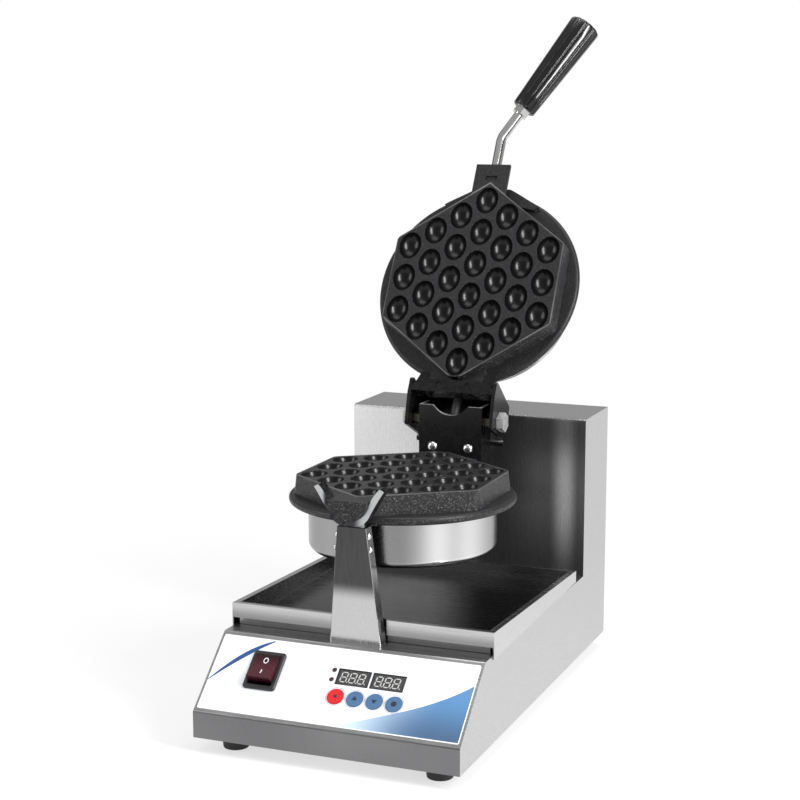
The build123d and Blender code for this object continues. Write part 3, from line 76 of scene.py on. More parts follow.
class Shader:
    """One node material, built step by step around a Principled shader."""

    def __init__(self, name, colour, metallic=0.0, roughness=0.5, **sockets):
        self.material = bpy.data.materials.new(name)
        self.material.use_nodes = True
        self.tree = self.material.node_tree
        self.principled = self.tree.nodes["Principled BSDF"]
        self.principled.inputs["Base Color"].default_value = (*colour, 1)
        self.principled.inputs["Metallic"].default_value = metallic
        self.principled.inputs["Roughness"].default_value = roughness
        for socket, value in sockets.items():
            self.principled.inputs[socket.replace("_", " ")].default_value = value
        self.place = self.node("ShaderNodeTexCoord").outputs["Object"]

    def node(self, kind, **values):
        made = self.tree.nodes.new(kind)
        for key, value in values.items():
            setattr(made, key, value)
        return made

    def link(self, out, socket):
        self.tree.links.new(out, socket)

    def noise(self, scale, detail=4.0, stretch=even, roughness=0.5):
        mapping = self.node("ShaderNodeMapping")
        mapping.inputs["Scale"].default_value = stretch
        self.link(self.place, mapping.inputs["Vector"])
        texture = self.node("ShaderNodeTexNoise")
        texture.inputs["Scale"].default_value = scale
        texture.inputs["Detail"].default_value = detail
        texture.inputs["Roughness"].default_value = roughness
        self.link(mapping.outputs["Vector"], texture.inputs["Vector"])
        return texture.outputs["Fac"]

    def flakes(self, scale):
        """One chance value for each small cell of the surface."""
        texture = self.node("ShaderNodeTexVoronoi")
        texture.inputs["Scale"].default_value = scale
        self.link(self.place, texture.inputs["Vector"])
        return self.part(texture.outputs["Color"], "X")

    def span(self, value, low, high, to_low, to_high, smooth=False):
        step = self.node("ShaderNodeMapRange")
        if smooth:
            step.interpolation_type = "SMOOTHSTEP"
        limits = {"From Min": low, "From Max": high, "To Min": to_low, "To Max": to_high}
        for key, number in limits.items():
            step.inputs[key].default_value = number
        self.link(value, step.inputs["Value"])
        return step.outputs["Result"]

    def rise(self, value, low, high, smooth=False):
        return self.span(value, low, high, 0, 1, smooth)

    def fall(self, value, low, high, smooth=False):
        return self.span(value, low, high, 1, 0, smooth)

    def maths(self, operation, first, second=0):
        step = self.node("ShaderNodeMath", operation=operation)
        for socket, value in zip(step.inputs, (first, second)):
            if isinstance(value, (int, float)):
                socket.default_value = value
            else:
                self.link(value, socket)
        return step.outputs["Value"]

    def product(self, first, *others):
        for other in others:
            first = self.maths("MULTIPLY", first, other)
        return first

    def distance(self, value, middle=None):
        """How far a value is from zero, or from a middle."""
        if middle is not None:
            value = self.maths("SUBTRACT", value, middle)
        return self.maths("ABSOLUTE", value)

    def part(self, vector, letter):
        split = self.node("ShaderNodeSeparateXYZ")
        self.link(vector, split.inputs["Vector"])
        return split.outputs[letter]

    def dot(self, vector, way):
        step = self.node("ShaderNodeVectorMath", operation="DOT_PRODUCT")
        self.link(vector, step.inputs[0])
        step.inputs[1].default_value = way
        return step.outputs["Value"]

    def facing(self):
        return self.node("ShaderNodeNewGeometry").outputs["Normal"]

    def normal(self, letter):
        return self.part(self.facing(), letter)

    def mix(self, factor, first, second):
        """A colour between two, which are colours or sockets."""
        step = self.node("ShaderNodeMix", data_type="RGBA")
        sockets = (step.inputs["Factor"], step.inputs[6], step.inputs[7])
        for socket, value in zip(sockets, (factor, first, second)):
            if isinstance(value, (int, float)):
                socket.default_value = value
            elif isinstance(value, tuple):
                socket.default_value = (*value, 1)
            else:
                self.link(value, socket)
        return step.outputs[2]

    def between(self, factor, first, second):
        """A number between two sockets."""
        step = self.node("ShaderNodeMix")
        for key, value in (("Factor", factor), ("A", first), ("B", second)):
            self.link(value, step.inputs[key])
        return step.outputs["Result"]

    def colour(self, value):
        self.link(value, self.principled.inputs["Base Color"])

    def rough(self, value):
        self.link(value, self.principled.inputs["Roughness"])

    def bump(self, height, depth, strength):
        step = self.node("ShaderNodeBump")
        step.inputs["Strength"].default_value = strength
        step.inputs["Distance"].default_value = depth
        self.link(height, step.inputs["Height"])
        self.link(step.outputs["Normal"], self.principled.inputs["Normal"])

    def texture_finish(self, texture, smoothest, roughest, depth=None, strength=None):
        """Roughness and, where a depth is given, bump that follow one texture."""
        self.rough(self.span(texture, 0.3, 0.7, smoothest, roughest))
        if depth is not None:
            self.bump(texture, depth, strength)


def brushed(name, light, dark, roughness, stretch, grain=900, metallic=1.0):
    """Steel with fine scratches along one direction and slow cloudy changes."""
    shader = Shader(name, light, metallic, roughness)
    scratches = shader.noise(grain, 3, stretch)
    clouds = shader.noise(9, 2)
    blend = shader.maths("ADD", shader.product(scratches, 0.6), shader.product(clouds, 0.4))
    shader.colour(shader.mix(shader.rise(blend, 0.35, 0.65), dark, light))
    shader.texture_finish(scratches, roughness - 0.06, roughness + 0.08, 0.00002, 0.5)
    return shader


def facing_steel(name, light, dark, front, stretch, roughness=0.3, front_metal=1.0):
    """Brushed steel whose faces to the front get a painted reflection tone of their own."""
    shader = Shader(name, light, 1.0, roughness)
    scratches = shader.noise(900, 3, stretch)
    base = shader.mix(shader.rise(scratches, 0.3, 0.7), dark, light)
    # faces to the front get the painted reflection tone
    painted_front_share = shader.fall(shader.normal("Y"), *front_facing)
    shader.colour(shader.mix(painted_front_share, base, front(shader, base)))
    if front_metal < 1.0:
        metal = shader.span(painted_front_share, 0, 1, 1, front_metal)
        shader.link(metal, shader.principled.inputs["Metallic"])
    shader.texture_finish(scratches, roughness - 0.05, roughness + 0.07, 0.00002, 0.5)
    return shader


def tower_front_painted_reflection(shader, base):
    """Painted dark reflection of the iron with one painted bright upright highlight, and a painted
    pale reflection at its left end.
    """
    painted_streak_left, painted_streak_right = (0.086, 0.102), (0.104, 0.119)
    painted_haze_start, painted_pale_end = (0.035, 0.08), (-0.055, 0.02)
    lit_from, lit_to = (0.095, 0.165), (0.185, 0.245)
    across, height = shader.part(shader.place, "X"), shader.part(shader.place, "Z")
    waver = shader.maths("SUBTRACT", shader.noise(4, 1, (6, 1, 0.4)), 0.5)
    edge = shader.maths("ADD", across, shader.product(waver, 0.012))
    # a painted bright upright highlight, wavering along its edge
    painted_streak = shader.product(
        shader.rise(edge, *painted_streak_left, True), shader.fall(edge, *painted_streak_right, True)
    )
    in_height = shader.product(
        shader.span(height, *lit_from, 0.15, 1, True), shader.span(height, *lit_to, 1, 0.25, True)
    )
    # a painted lighter reflection right of the middle, within the lit heights
    painted_haze = shader.product(shader.rise(edge, *painted_haze_start, True), in_height)
    # painted dark reflection of the iron
    dark = shader.mix(painted_haze, (0.038, 0.038, 0.039), (0.10, 0.10, 0.102))
    painted_mirror = shader.mix(shader.product(painted_streak, in_height), dark, grey(0.42))
    # painted pale reflection at the left end
    return shader.mix(shader.rise(across, *painted_pale_end, True), grey(0.80), painted_mirror)


def base_front_painted_reflection(shader, base):
    """The front lip of the base, painted as a dark reflection of the worktop with a cloudy tone."""
    cloud = shader.rise(shader.noise(7, 2), 0.35, 0.65)
    return shader.mix(0.88, base, shader.mix(cloud, (0.135, 0.135, 0.14), (0.19, 0.19, 0.195)))


steel = facing_steel("brushed_steel", grey(0.57), grey(0.49), base_front_painted_reflection, along_x)
tower_steel = facing_steel(
    "tower_steel", grey(0.55), grey(0.48), tower_front_painted_reflection, along_z, roughness=0.26, front_metal=0.5
)
plain_steel = brushed("plain_steel", grey(0.60), grey(0.50), 0.32, along_z)

# the column: painted reflection over a brushed grain, bright at its foot and a dark painted
# reflection of the iron above
column_steel = Shader("column_steel", grey(0.6), 1.0, 0.26)
column_painted_dark_from, column_painted_sides = (0.133, 0.150), (0.6, 0.9)
column_grain = column_steel.noise(700, 3, along_z)
column_grain_and_painted_reflection = column_steel.mix(
    column_steel.rise(column_steel.part(column_steel.place, "Z"), *column_painted_dark_from, True),
    column_steel.mix(column_grain, grey(0.50), grey(0.60)),
    column_steel.mix(column_grain, (0.055, 0.055, 0.056), grey(0.10)),
)
# the column's sides get a painted lighter tone than its front
column_painted_side = column_steel.rise(column_steel.distance(column_steel.normal("X")), *column_painted_sides)
column_steel.colour(column_steel.mix(column_painted_side, column_grain_and_painted_reflection, grey(0.42)))
column_steel.texture_finish(column_grain, 0.2, 0.32, 0.00001, 0.3)

bright = brushed("bright_steel", grey(0.80), grey(0.70), 0.18, even, 600)
satin_chrome = brushed("satin_chrome", (0.66, 0.655, 0.65), (0.58, 0.575, 0.57), 0.18, even, 40)
brass = brushed("brass", (0.80, 0.60, 0.26), (0.62, 0.45, 0.18), 0.28, even, 500)
bolt_zinc = brushed("bolt_zinc", grey(0.62), grey(0.42), 0.3, even, 200, metallic=0.5)
zinc = brushed("zinc_nut", (0.36, 0.33, 0.25), (0.20, 0.185, 0.15), 0.3, even, 300)

# the rod has two painted dark reflection lines along it, as bright round bars show, with a cloudy
# tone
rod_chrome = Shader("rod_chrome", grey(0.6), 1.0, 0.16)
rod_side = rod_chrome.normal("X")
rod_painted_reflection_lines = rod_chrome.product(
    rod_chrome.rise(rod_chrome.distance(rod_side, -0.62), 0.05, 0.16, True),
    rod_chrome.rise(rod_chrome.distance(rod_side, 0.70), 0.06, 0.20, True),
)
rod_cloud = rod_chrome.span(rod_chrome.noise(30, 2), 0.35, 0.65, 0.8, 1)
rod_painted_lines_and_cloud = rod_chrome.product(rod_painted_reflection_lines, rod_cloud)
rod_chrome.colour(rod_chrome.mix(rod_painted_lines_and_cloud, grey(0.10), (0.74, 0.735, 0.73)))
rod_chrome.rough(rod_chrome.span(rod_cloud, 0.8, 1, 0.2, 0.14))

# the tray: pale outside and on its rim, with a painted dark reflection inside the pan
pan_half_width, pan_front, pan_back = (0.1194, 0.1206), (-0.1345, -0.1335), (0.104, 0.105)
painted_fold_shade_heights = (0.103, 0.114)
tray = Shader("tray_steel", grey(0.7), 1.0, 0.22)
tray_grain = tray.noise(900, 3, along_x)
tray_x, tray_y, tray_z = (tray.part(tray.place, letter) for letter in "XYZ")
across_pan = tray.fall(tray.distance(tray_x), *pan_half_width)
along_pan = tray.product(tray.rise(tray_y, *pan_front), tray.fall(tray_y, *pan_back))
in_pan = tray.product(across_pan, along_pan)
floor_cloud = tray.rise(tray.noise(5, 2), 0.35, 0.7)
pan_floor_painted_reflection = tray.mix(floor_cloud, (0.035, 0.035, 0.036), (0.12, 0.12, 0.122))
# the pan's walls get a lighter painted reflection than its floor
pan_wall_painted_share = tray.fall(tray.distance(tray.normal("Z")), 0.3, 0.7)
pan_painted_reflection = tray.mix(pan_wall_painted_share, pan_floor_painted_reflection, grey(0.30))
rim_tone = tray.mix(tray.rise(tray_grain, 0.3, 0.7), grey(0.50), grey(0.64))
# painted shade on the low part of the front fold
low_fold_painted_shade = tray.product(
    tray.fall(tray_z, *painted_fold_shade_heights, True), tray.fall(tray.normal("Y"), *front_facing)
)
rim_grain_and_painted_fold_shade = tray.mix(low_fold_painted_shade, rim_tone, grey(0.30))
tray.colour(tray.mix(in_pan, rim_grain_and_painted_fold_shade, pan_painted_reflection))
tray.texture_finish(tray_grain, 0.16, 0.3, 0.00002, 0.4)

# spun cups: rings of brushing round the axis and soft painted reflection bands of light and dark
painted_reflection_bands = (
    (0.00, 0.16), (0.14, 0.44), (0.48, 0.14), (0.59, 0.42), (0.68, 1.00), (0.76, 0.52),
    (0.84, 0.92), (0.92, 0.55), (1.00, 0.12),
)
cup_radius = 0.088
cup_facts = {
    "lower_cover": (iron_y * millimetre, 0.375, (1, 1, 14)),
    "upper_cover": (0.0, 0.0, (14, 1, 1)),
}
cup_shaders = {}
for cup, (centre_y, turned, rings) in cup_facts.items():
    shader = Shader("cup_" + cup, grey(0.75), 1.0, 0.22)
    grain = shader.noise(800, 3, rings)
    depth = shader.maths("SUBTRACT", shader.part(shader.place, "Y"), centre_y)
    across = shader.maths(
        "ADD",
        shader.product(shader.part(shader.place, "X"), cos(turned)),
        shader.product(depth, sin(turned)),
    )
    painted_band_ramp = shader.node("ShaderNodeValToRGB")
    painted_band_ramp.color_ramp.interpolation = "B_SPLINE"
    stops = painted_band_ramp.color_ramp.elements
    for stop, (place, tone) in enumerate(painted_reflection_bands):
        element = stops[stop] if stop < 2 else stops.new(place)
        element.position = place
        element.color = (*grey(tone), 1)
    shader.link(shader.rise(across, -cup_radius, cup_radius), painted_band_ramp.inputs["Fac"])
    rings_share = shader.span(grain, 0.35, 0.65, 0, 0.22)
    shader.colour(shader.mix(rings_share, painted_band_ramp.outputs["Color"], grey(0.5)))
    shader.texture_finish(grain, 0.16, 0.3, 0.00002, 0.5)
    cup_shaders[cup] = shader

# cast iron halves: rough non-stick coat with painted glints on its grain, smoother and with painted
# shade in the cells, and a painted highlight along the edge of the six sided block
hex_half_width, hex_corner, hex_tip = 89.5, 44, 109
hex_slant = atan2(hex_tip - hex_corner, hex_half_width)
half_frames = {
    "lower_mould": (Vector((0, iron_y, turn_height)), Vector((0, -1, 0)), Vector((0, 0, -1))),
    "upper_mould": (lid_origin, lid_along, lid_away),
}


def casting_coat(half, origin, along_way, away_way):
    """Coat of one half, laid out from the middle of its meeting face."""
    coat = Shader("coat_" + half, (0.01, 0.01, 0.011), 0.0, 0.45, Specular_IOR_Level=0.3)
    offset = coat.node("ShaderNodeVectorMath", operation="SUBTRACT")
    coat.link(coat.place, offset.inputs[0])
    offset.inputs[1].default_value = origin * millimetre
    local = offset.outputs["Vector"]
    depth = coat.dot(local, away_way)

    # how far a point lies outside the block's six sides
    side = coat.distance(coat.part(local, "X"))
    slanted = coat.maths(
        "ADD",
        coat.product(side, sin(hex_slant)),
        coat.product(coat.distance(coat.dot(local, along_way)), cos(hex_slant)),
    )
    past_edge = coat.maths(
        "MAXIMUM",
        coat.maths("SUBTRACT", side, hex_half_width * millimetre),
        coat.maths("SUBTRACT", slanted, hex_tip * cos(hex_slant) * millimetre),
    )

    in_cell = coat.product(
        coat.rise(depth, 0.0008, 0.0016),
        coat.fall(past_edge, -0.0016, -0.0010),
        coat.fall(depth, 0.0165, 0.0175),
    )
    off_cell = coat.maths("SUBTRACT", 1, in_cell)
    # painted highlight along the edge of the six sided block, patchy
    painted_edge_highlight = coat.product(
        coat.fall(depth, 0.0006, 0.0012),
        coat.rise(past_edge, -0.0014, -0.0005, True),
        coat.fall(past_edge, 0.0003, 0.0008),
    )
    lumps = coat.noise(520, 6, roughness=0.7)
    patch = coat.span(coat.noise(18, 3), 0.35, 0.7, 0.25, 1)
    wall = coat.fall(coat.distance(coat.dot(coat.facing(), away_way)), 0.3, 0.6)
    # painted glints on the grain, stronger on side walls
    painted_glints = coat.product(
        coat.rise(coat.flakes(1500), 0.74, 1.0),
        coat.rise(lumps, 0.42, 0.55),
        off_cell,
        coat.maths("ADD", coat.product(wall, 0.8), 0.2),
    )

    tone = coat.mix(lumps, (0.005, 0.005, 0.006), (0.017, 0.017, 0.018))
    # painted shade in the cells
    tone = coat.mix(in_cell, tone, (0.003, 0.003, 0.0035))
    tone = coat.mix(coat.product(painted_edge_highlight, patch), tone, grey(0.13))
    coat.colour(coat.mix(painted_glints, tone, (0.17, 0.17, 0.175)))
    plain_rough = coat.span(lumps, 0.3, 0.7, 0.34, 0.54)
    cell_rough = coat.span(lumps, 0.3, 0.7, 0.22, 0.32)
    coat.rough(coat.between(in_cell, plain_rough, cell_rough))
    grain_height = coat.product(lumps, coat.maths("ADD", coat.product(off_cell, 0.92), 0.08))
    coat.bump(grain_height, 0.00028, 0.6)
    return coat


coats = {half: casting_coat(half, *ways) for half, ways in half_frames.items()}


def lacquer(name, wear_from, wear_to, painted_top_highlight=False):
    """Glossy black paint on sheet steel with a random wear tone, and where asked a painted highlight
    on faces that face up.
    """
    shader = Shader(name, (0.01, 0.01, 0.011), 0.0, 0.26, Specular_IOR_Level=0.3)
    wear = shader.noise(260, 5)
    tone = shader.mix(
        shader.rise(wear, wear_from, wear_to), (0.004, 0.004, 0.0045), (0.010, 0.010, 0.011)
    )
    if painted_top_highlight:
        # painted highlight on faces that face up
        tone = shader.mix(shader.rise(shader.normal("Z"), 0.5, 0.9), tone, grey(0.36))
    shader.colour(tone)
    shader.texture_finish(wear, 0.2, 0.3, 0.00001, 0.3)
    return shader


black_steel = lacquer("black_lacquer", 0.4, 0.8)
bracket_steel = lacquer("bracket_lacquer", 0, 1, painted_top_highlight=True)

# the cradle: dark, with a painted highlight on the front faces of both arms
cradle_coat = Shader("cradle_coat", grey(0.03), 0.9, 0.35)
right_arm, left_arm = (0.004, 0.014), (-0.026, -0.022)
chips = cradle_coat.noise(240, 5)
cradle_x = cradle_coat.part(cradle_coat.place, "X")
on_arms = cradle_coat.maths(
    "MAXIMUM",
    cradle_coat.rise(cradle_x, *right_arm, True),
    cradle_coat.fall(cradle_x, *left_arm, True),
)
# painted highlight on the front faces of both arms
painted_front_highlight = cradle_coat.product(cradle_coat.fall(cradle_coat.normal("Y"), -0.95, -0.75), on_arms)
dull = cradle_coat.mix(
    cradle_coat.rise(chips, 0.4, 0.7), (0.018, 0.018, 0.02), (0.07, 0.07, 0.075)
)
cradle_coat.colour(cradle_coat.mix(painted_front_highlight, dull, (0.55, 0.555, 0.56)))
cradle_coat.texture_finish(chips, 0.24, 0.4, 0.00008, 0.5)


def moulded(name, dark, light, roughness, grain=700, depth=0.00002):
    """Moulded plastic, rubber or ink with a faint grain."""
    shader = Shader(name, dark, 0.0, roughness)
    texture = shader.noise(grain, 4)
    shader.colour(shader.mix(shader.rise(texture, 0.35, 0.65), dark, light))
    shader.texture_finish(texture, roughness - 0.04, roughness + 0.08, depth, 0.4)
    return shader


grip_plastic = moulded(
    "grip_plastic", (0.003, 0.003, 0.0035), (0.006, 0.006, 0.007), 0.14, 60, 0.000001
)
black_plastic = moulded("black_plastic", (0.012, 0.012, 0.013), (0.024, 0.024, 0.026), 0.42)
rubber = moulded(
    "foot_rubber", (0.012, 0.012, 0.013), (0.028, 0.028, 0.030), 0.62, 900, 0.00004
)
set_plastic = moulded("set_plastic", (0.55, 0.008, 0.014), (0.62, 0.012, 0.020), 0.4)
pad_plastic = moulded("pad_plastic", (0.050, 0.12, 0.24), (0.070, 0.155, 0.29), 0.4)
board_green = moulded("board_green", (0.01, 0.09, 0.04), (0.02, 0.13, 0.06), 0.5)
display_black = moulded(
    "display_black", (0.045, 0.043, 0.043), (0.060, 0.058, 0.058), 0.22, 300
)
lamp_red = moulded("lamp_red", (0.030, 0.014, 0.013), (0.055, 0.024, 0.022), 0.3)
mark_ink = moulded("mark_ink", (0.012, 0.020, 0.045), (0.018, 0.028, 0.060), 0.4)
sleeve = moulded(
    "cable_sleeve", (0.012, 0.012, 0.013), (0.030, 0.030, 0.032), 0.55, 1500, 0.0002
)
fibre = moulded("mineral_fibre", (0.70, 0.68, 0.62), (0.86, 0.84, 0.78), 0.9, 400, 0.0004)
sheath = moulded("heater_sheath", (0.22, 0.20, 0.18), (0.34, 0.31, 0.28), 0.5, 300)
ring_white = moulded("ring_white", (0.80, 0.82, 0.85), (0.88, 0.90, 0.92), 0.4)
ring_grey = moulded("ring_grey", (0.30, 0.33, 0.38), (0.40, 0.43, 0.48), 0.4)
arc_ink = moulded("arc_ink", (0.010, 0.060, 0.20), (0.015, 0.075, 0.24), 0.4)

# the rocker is a clear dark red, lighter across its middle
rocker_plastic = Shader("rocker_plastic", (0.05, 0.005, 0.01), 0.0, 0.26)
rocker_height = 0.0735
off_middle = rocker_plastic.distance(
    rocker_plastic.part(rocker_plastic.place, "Z"), rocker_height
)
rocker_grain = rocker_plastic.noise(500, 3)
rocker_glow = rocker_plastic.product(
    rocker_plastic.fall(off_middle, 0.002, 0.011, True),
    rocker_plastic.span(rocker_grain, 0.3, 0.7, 0.93, 1),
)
rocker_plastic.colour(
    rocker_plastic.mix(rocker_glow, (0.010, 0.002, 0.004), (0.055, 0.004, 0.012))
)
rocker_plastic.texture_finish(rocker_grain, 0.22, 0.3)

digit_light = Shader("digit_light", (0.50, 0.50, 0.49), 0.0, 0.4)
digit_light.colour(
    digit_light.mix(digit_light.noise(900, 2), (0.46, 0.46, 0.45), (0.60, 0.60, 0.58))
)

label_paper = Shader("label_paper", (0.82, 0.85, 0.89), 0.0, 0.42, Coat_Weight=0.25)
paper = label_paper.noise(600, 3)
label_paper.colour(
    label_paper.mix(label_paper.rise(paper, 0.3, 0.7), (0.80, 0.83, 0.87), (0.86, 0.88, 0.92))
)
label_paper.texture_finish(paper, 0.38, 0.48)

# the swoosh fades in from the left and is deepest at its lower right
swoosh_ink = Shader("swoosh_ink", (0.02, 0.16, 0.42), 0.0, 0.4, Coat_Weight=0.25)
fade_reach, deep_heights = (0.008, 0.10), (0.041, 0.070)
fade = swoosh_ink.rise(swoosh_ink.part(swoosh_ink.place, "X"), *fade_reach, True)
low = swoosh_ink.fall(swoosh_ink.part(swoosh_ink.place, "Z"), *deep_heights, True)
blue = swoosh_ink.mix(fade, (0.62, 0.76, 0.90), (0.085, 0.22, 0.43))
deep = swoosh_ink.product(low, fade)
swoosh_ink.colour(swoosh_ink.mix(deep, blue, (0.050, 0.105, 0.20)))
swoosh_ink.texture_finish(swoosh_ink.noise(600, 3), 0.36, 0.48)

looks = {
    steel: "base_shell",
    tower_steel: "tower_cover",
    plain_steel: "bottom_plate back_cover",
    column_steel: "front_column",
    tray: "drip_tray",
    cup_shaders["lower_cover"]: "lower_cover",
    cup_shaders["upper_cover"]: "upper_cover",
    coats["lower_mould"]: "lower_mould",
    coats["upper_mould"]: "upper_mould",
    black_steel: "lid_yoke yoke_screws",
    bracket_steel: "hinge_bracket",
    cradle_coat: "cradle",
    bright: "lower_cover_nut upper_cover_nut foot_screws bottom_plate_screws back_cover_screws "
            "bearing_screws bracket_screws column_screws cradle_screws lug_screws board_screws "
            "board_standoffs bracket_spacers rotor_shaft shaft_collar bearing_housing",
    satin_chrome: "handle_nut",
    bolt_zinc: "hinge_bolts",
    rod_chrome: "handle_rod",
    zinc: "hinge_nuts",
    brass: "bearing_bush",
    rubber: "rubber_feet",
    grip_plastic: "handle_grip",
    label_paper: "control_label",
    board_green: "control_board power_board",
    black_plastic: "switch_body cord_gland terminal_block tact_switches",
    display_black: "temperature_display time_display",
    lamp_red: "indicator_leds",
    rocker_plastic: "switch_rocker",
    set_plastic: "set_pad",
    pad_plastic: "up_pad down_pad timer_pad",
    sheath: "lower_heater upper_heater temperature_probe",
    fibre: "lower_insulation upper_insulation",
    sleeve: "lid_cable",
}
for shader, names in looks.items():
    for name in names.split():
        slots = nodes[name].material_slots
        for slot in slots:
            slot.material = shader.material
        if not slots:
            nodes[name].data.materials.append(shader.material)


# ------------------------------------------------------------ making of pieces
def piece(name, mesh_points, faces, shader, body):
    """A closed mesh with one material, which rides on a body."""
    mesh = bpy.data.meshes.new(name)
    mesh.from_pydata([tuple(p) for p in mesh_points], [], faces)
    mesh.validate()
    obj = bpy.data.objects.new(name, mesh)
    scene.collection.objects.link(obj)
    turned_out = bmesh.new()
    turned_out.from_mesh(mesh)
    bmesh.ops.recalc_face_normals(turned_out, faces=turned_out.faces)
    turned_out.to_mesh(mesh)
    turned_out.free()
    mesh.materials.append(shader.material)
    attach(obj, body)
    return obj


def shade_smooth(mesh):
    for polygon in mesh.polygons:
        polygon.use_smooth = True


def add_mesh(points, faces, more_points, more_faces):
    """Adds a second mesh to the lists of a first."""
    faces += [[v + len(points) for v in face] for face in more_faces]
    points += more_points


def slabs(outlines, low, high, place):
    """Closed prisms over flat outlines, between two heights over their plane."""
    points, faces = [], []
    for outline in outlines:
        start, count = len(points), len(outline)
        points += [place(x, up, low) for x, up in outline]
        points += [place(x, up, high) for x, up in outline]
        faces.append([start + i for i in reversed(range(count))])
        faces.append([start + count + i for i in range(count)])
        for i in range(count):
            j = (i + 1) % count
            faces.append([start + i, start + j, start + count + j, start + count + i])
    return points, faces


def strips(rows, low, high, place, ring=False):
    """Band between two lines of points, given as pairs across it, capped unless a ring."""
    points, faces = [], []
    for first, second in rows:
        points += [
            place(*first, low), place(*second, low), place(*second, high), place(*first, high),
        ]
    for i in range(len(rows) - 1):
        a, b = 4 * i, 4 * i + 4
        for k in range(4):
            n = (k + 1) % 4
            faces.append([a + k, a + n, b + n, b + k])
    if not ring:
        last = 4 * (len(rows) - 1)
        faces += [[3, 2, 1, 0], [last, last + 1, last + 2, last + 3]]
    return points, faces


def circle(x, up, radius, steps):
    return [
        (x + radius * cos(2 * pi * i / steps), up + radius * sin(2 * pi * i / steps))
        for i in range(steps)
    ]


def mirrored(outline):
    return [outline, [(-x, up) for x, up in outline]]


def through(first, middle, last, share):
    """Point at a share along the parabola through three points."""
    a = (1 - share) * (1 - 2 * share)
    b = 4 * share * (1 - share)
    c = share * (2 * share - 1)
    return tuple(a * p + b * q + c * r for p, q, r in zip(first, middle, last))


# ------------------------------------------------- the panel and its details
front_y, fascia_z, panel_rise, panel_run = -220, 38, 56, 63
slope = atan2(panel_rise, panel_run)
panel_up = Vector((0, cos(slope), sin(slope)))
panel_out = Vector((0, -sin(slope), cos(slope)))
panel_origin = Vector((0, front_y, fascia_z))
display_face, label_face, pad_face = 0.25, 0.5, 1.3
lift = 0.01


def on_panel(x, up, out):
    """A point on the sloped panel, from millimetres to metres."""
    return (panel_origin + Vector((x, 0, 0)) + panel_up * up + panel_out * out) * millimetre


# digits: seven bars and a dot each, three on each display
display_up, temperature_x, time_x = 52.5, 12.2, 44.8
digit_pitch, digit_shift, digit_width, digit_height, bar_width = 8.2, -0.6, 5.4, 9.4, 0.95
digit_lean = 0.10
dot_x, dot_drop, dot_radius = 3.3, 4.6, 0.55


def segment_bars(x, up):
    """Outlines of the seven bars of one digit, centred at x and up."""
    half_w, half_h, half_t = digit_width / 2, digit_height / 2, bar_width / 2
    gap = bar_width * 0.16
    bars = []
    end = half_w - half_t - gap
    for level in (-half_h, 0, half_h):
        bars.append([
            (-end, level), (-end + half_t, level - half_t), (end - half_t, level - half_t),
            (end, level), (end - half_t, level + half_t), (-end + half_t, level + half_t),
        ])
    for side in (-half_w, half_w):
        for low in (-half_h, 0):
            a, b = low + gap + bar_width * 0.15, low + half_h - gap - bar_width * 0.15
            bars.append([
                (side, a), (side + half_t, a + half_t), (side + half_t, b - half_t),
                (side, b), (side - half_t, b - half_t), (side - half_t, a + half_t),
            ])
    return [[(x + px + digit_lean * py, up + py) for px, py in bar] for bar in bars]


for name, centre, slot in (
    ("temperature_digits", temperature_x, "display_red"),
    ("time_digits", time_x, "display_green"),
):
    bars = []
    for k in (-1, 0, 1):
        digit_x = centre + digit_pitch * k
        bars += segment_bars(digit_x + digit_shift, display_up)
        bars.append(circle(digit_x + dot_x, display_up - dot_drop, dot_radius, 10))
    points, faces = slabs(bars, display_face + 2 * lift, display_face + 0.10, on_panel)
    piece(name, points, faces, digit_light, "stand")

# dark bezel frames round the displays
bezel_inner, bezel_outer, bezel_height = (14.9, 7.4), (15.4, 7.9), 0.35
for name, centre in (("temperature_frame", temperature_x), ("time_frame", time_x)):
    rows = []
    for sx, sy in ((-1, -1), (1, -1), (1, 1), (-1, 1), (-1, -1)):
        rows.append([
            (centre + sx * half_x, display_up + sy * half_y)
            for half_x, half_y in (bezel_outer, bezel_inner)
        ])
    points, faces = strips(rows, label_face + lift, label_face + bezel_height, on_panel, ring=True)
    piece(name, points, faces, black_plastic, "stand")

# rings round the four buttons, and a mark on each
pad_up, pad_pitch, pad_first = 32.6, 18.2, 1.5
pad_ring, pad_ring_height, pad_ring_steps = (8.65, 9.05), 0.14, 48
mark_low, mark_high = pad_face + lift, pad_face + 0.07
pad_centres = [pad_first + pad_pitch * k for k in range(4)]
ring_points, ring_faces = [], []
for centre in pad_centres:
    rows = []
    for i in range(pad_ring_steps + 1):
        turn = 2 * pi * i / pad_ring_steps
        rows.append([(centre + r * cos(turn), pad_up + r * sin(turn)) for r in pad_ring])
    add_mesh(
        ring_points, ring_faces,
        *strips(rows, label_face + lift, label_face + pad_ring_height, on_panel, ring=True),
    )
piece("button_rings", ring_points, ring_faces, ring_grey, "stand")

marks = {
    "set": circle(0, 0, 1.6, 20),
    "up": [(-2.6, -1.4), (2.6, -1.4), (0, 2.6)],
    "down": [(-2.6, 1.4), (0, -2.6), (2.6, 1.4)],
    "timer": circle(0, 0, 2.6, 24),
}
for centre, (name, outline) in zip(pad_centres, marks.items()):
    shifted = [(x + centre, up + pad_up) for x, up in outline]
    points, faces = slabs([shifted], mark_low, mark_high, on_panel)
    piece(name + "_mark", points, faces, mark_ink, name + "_button")

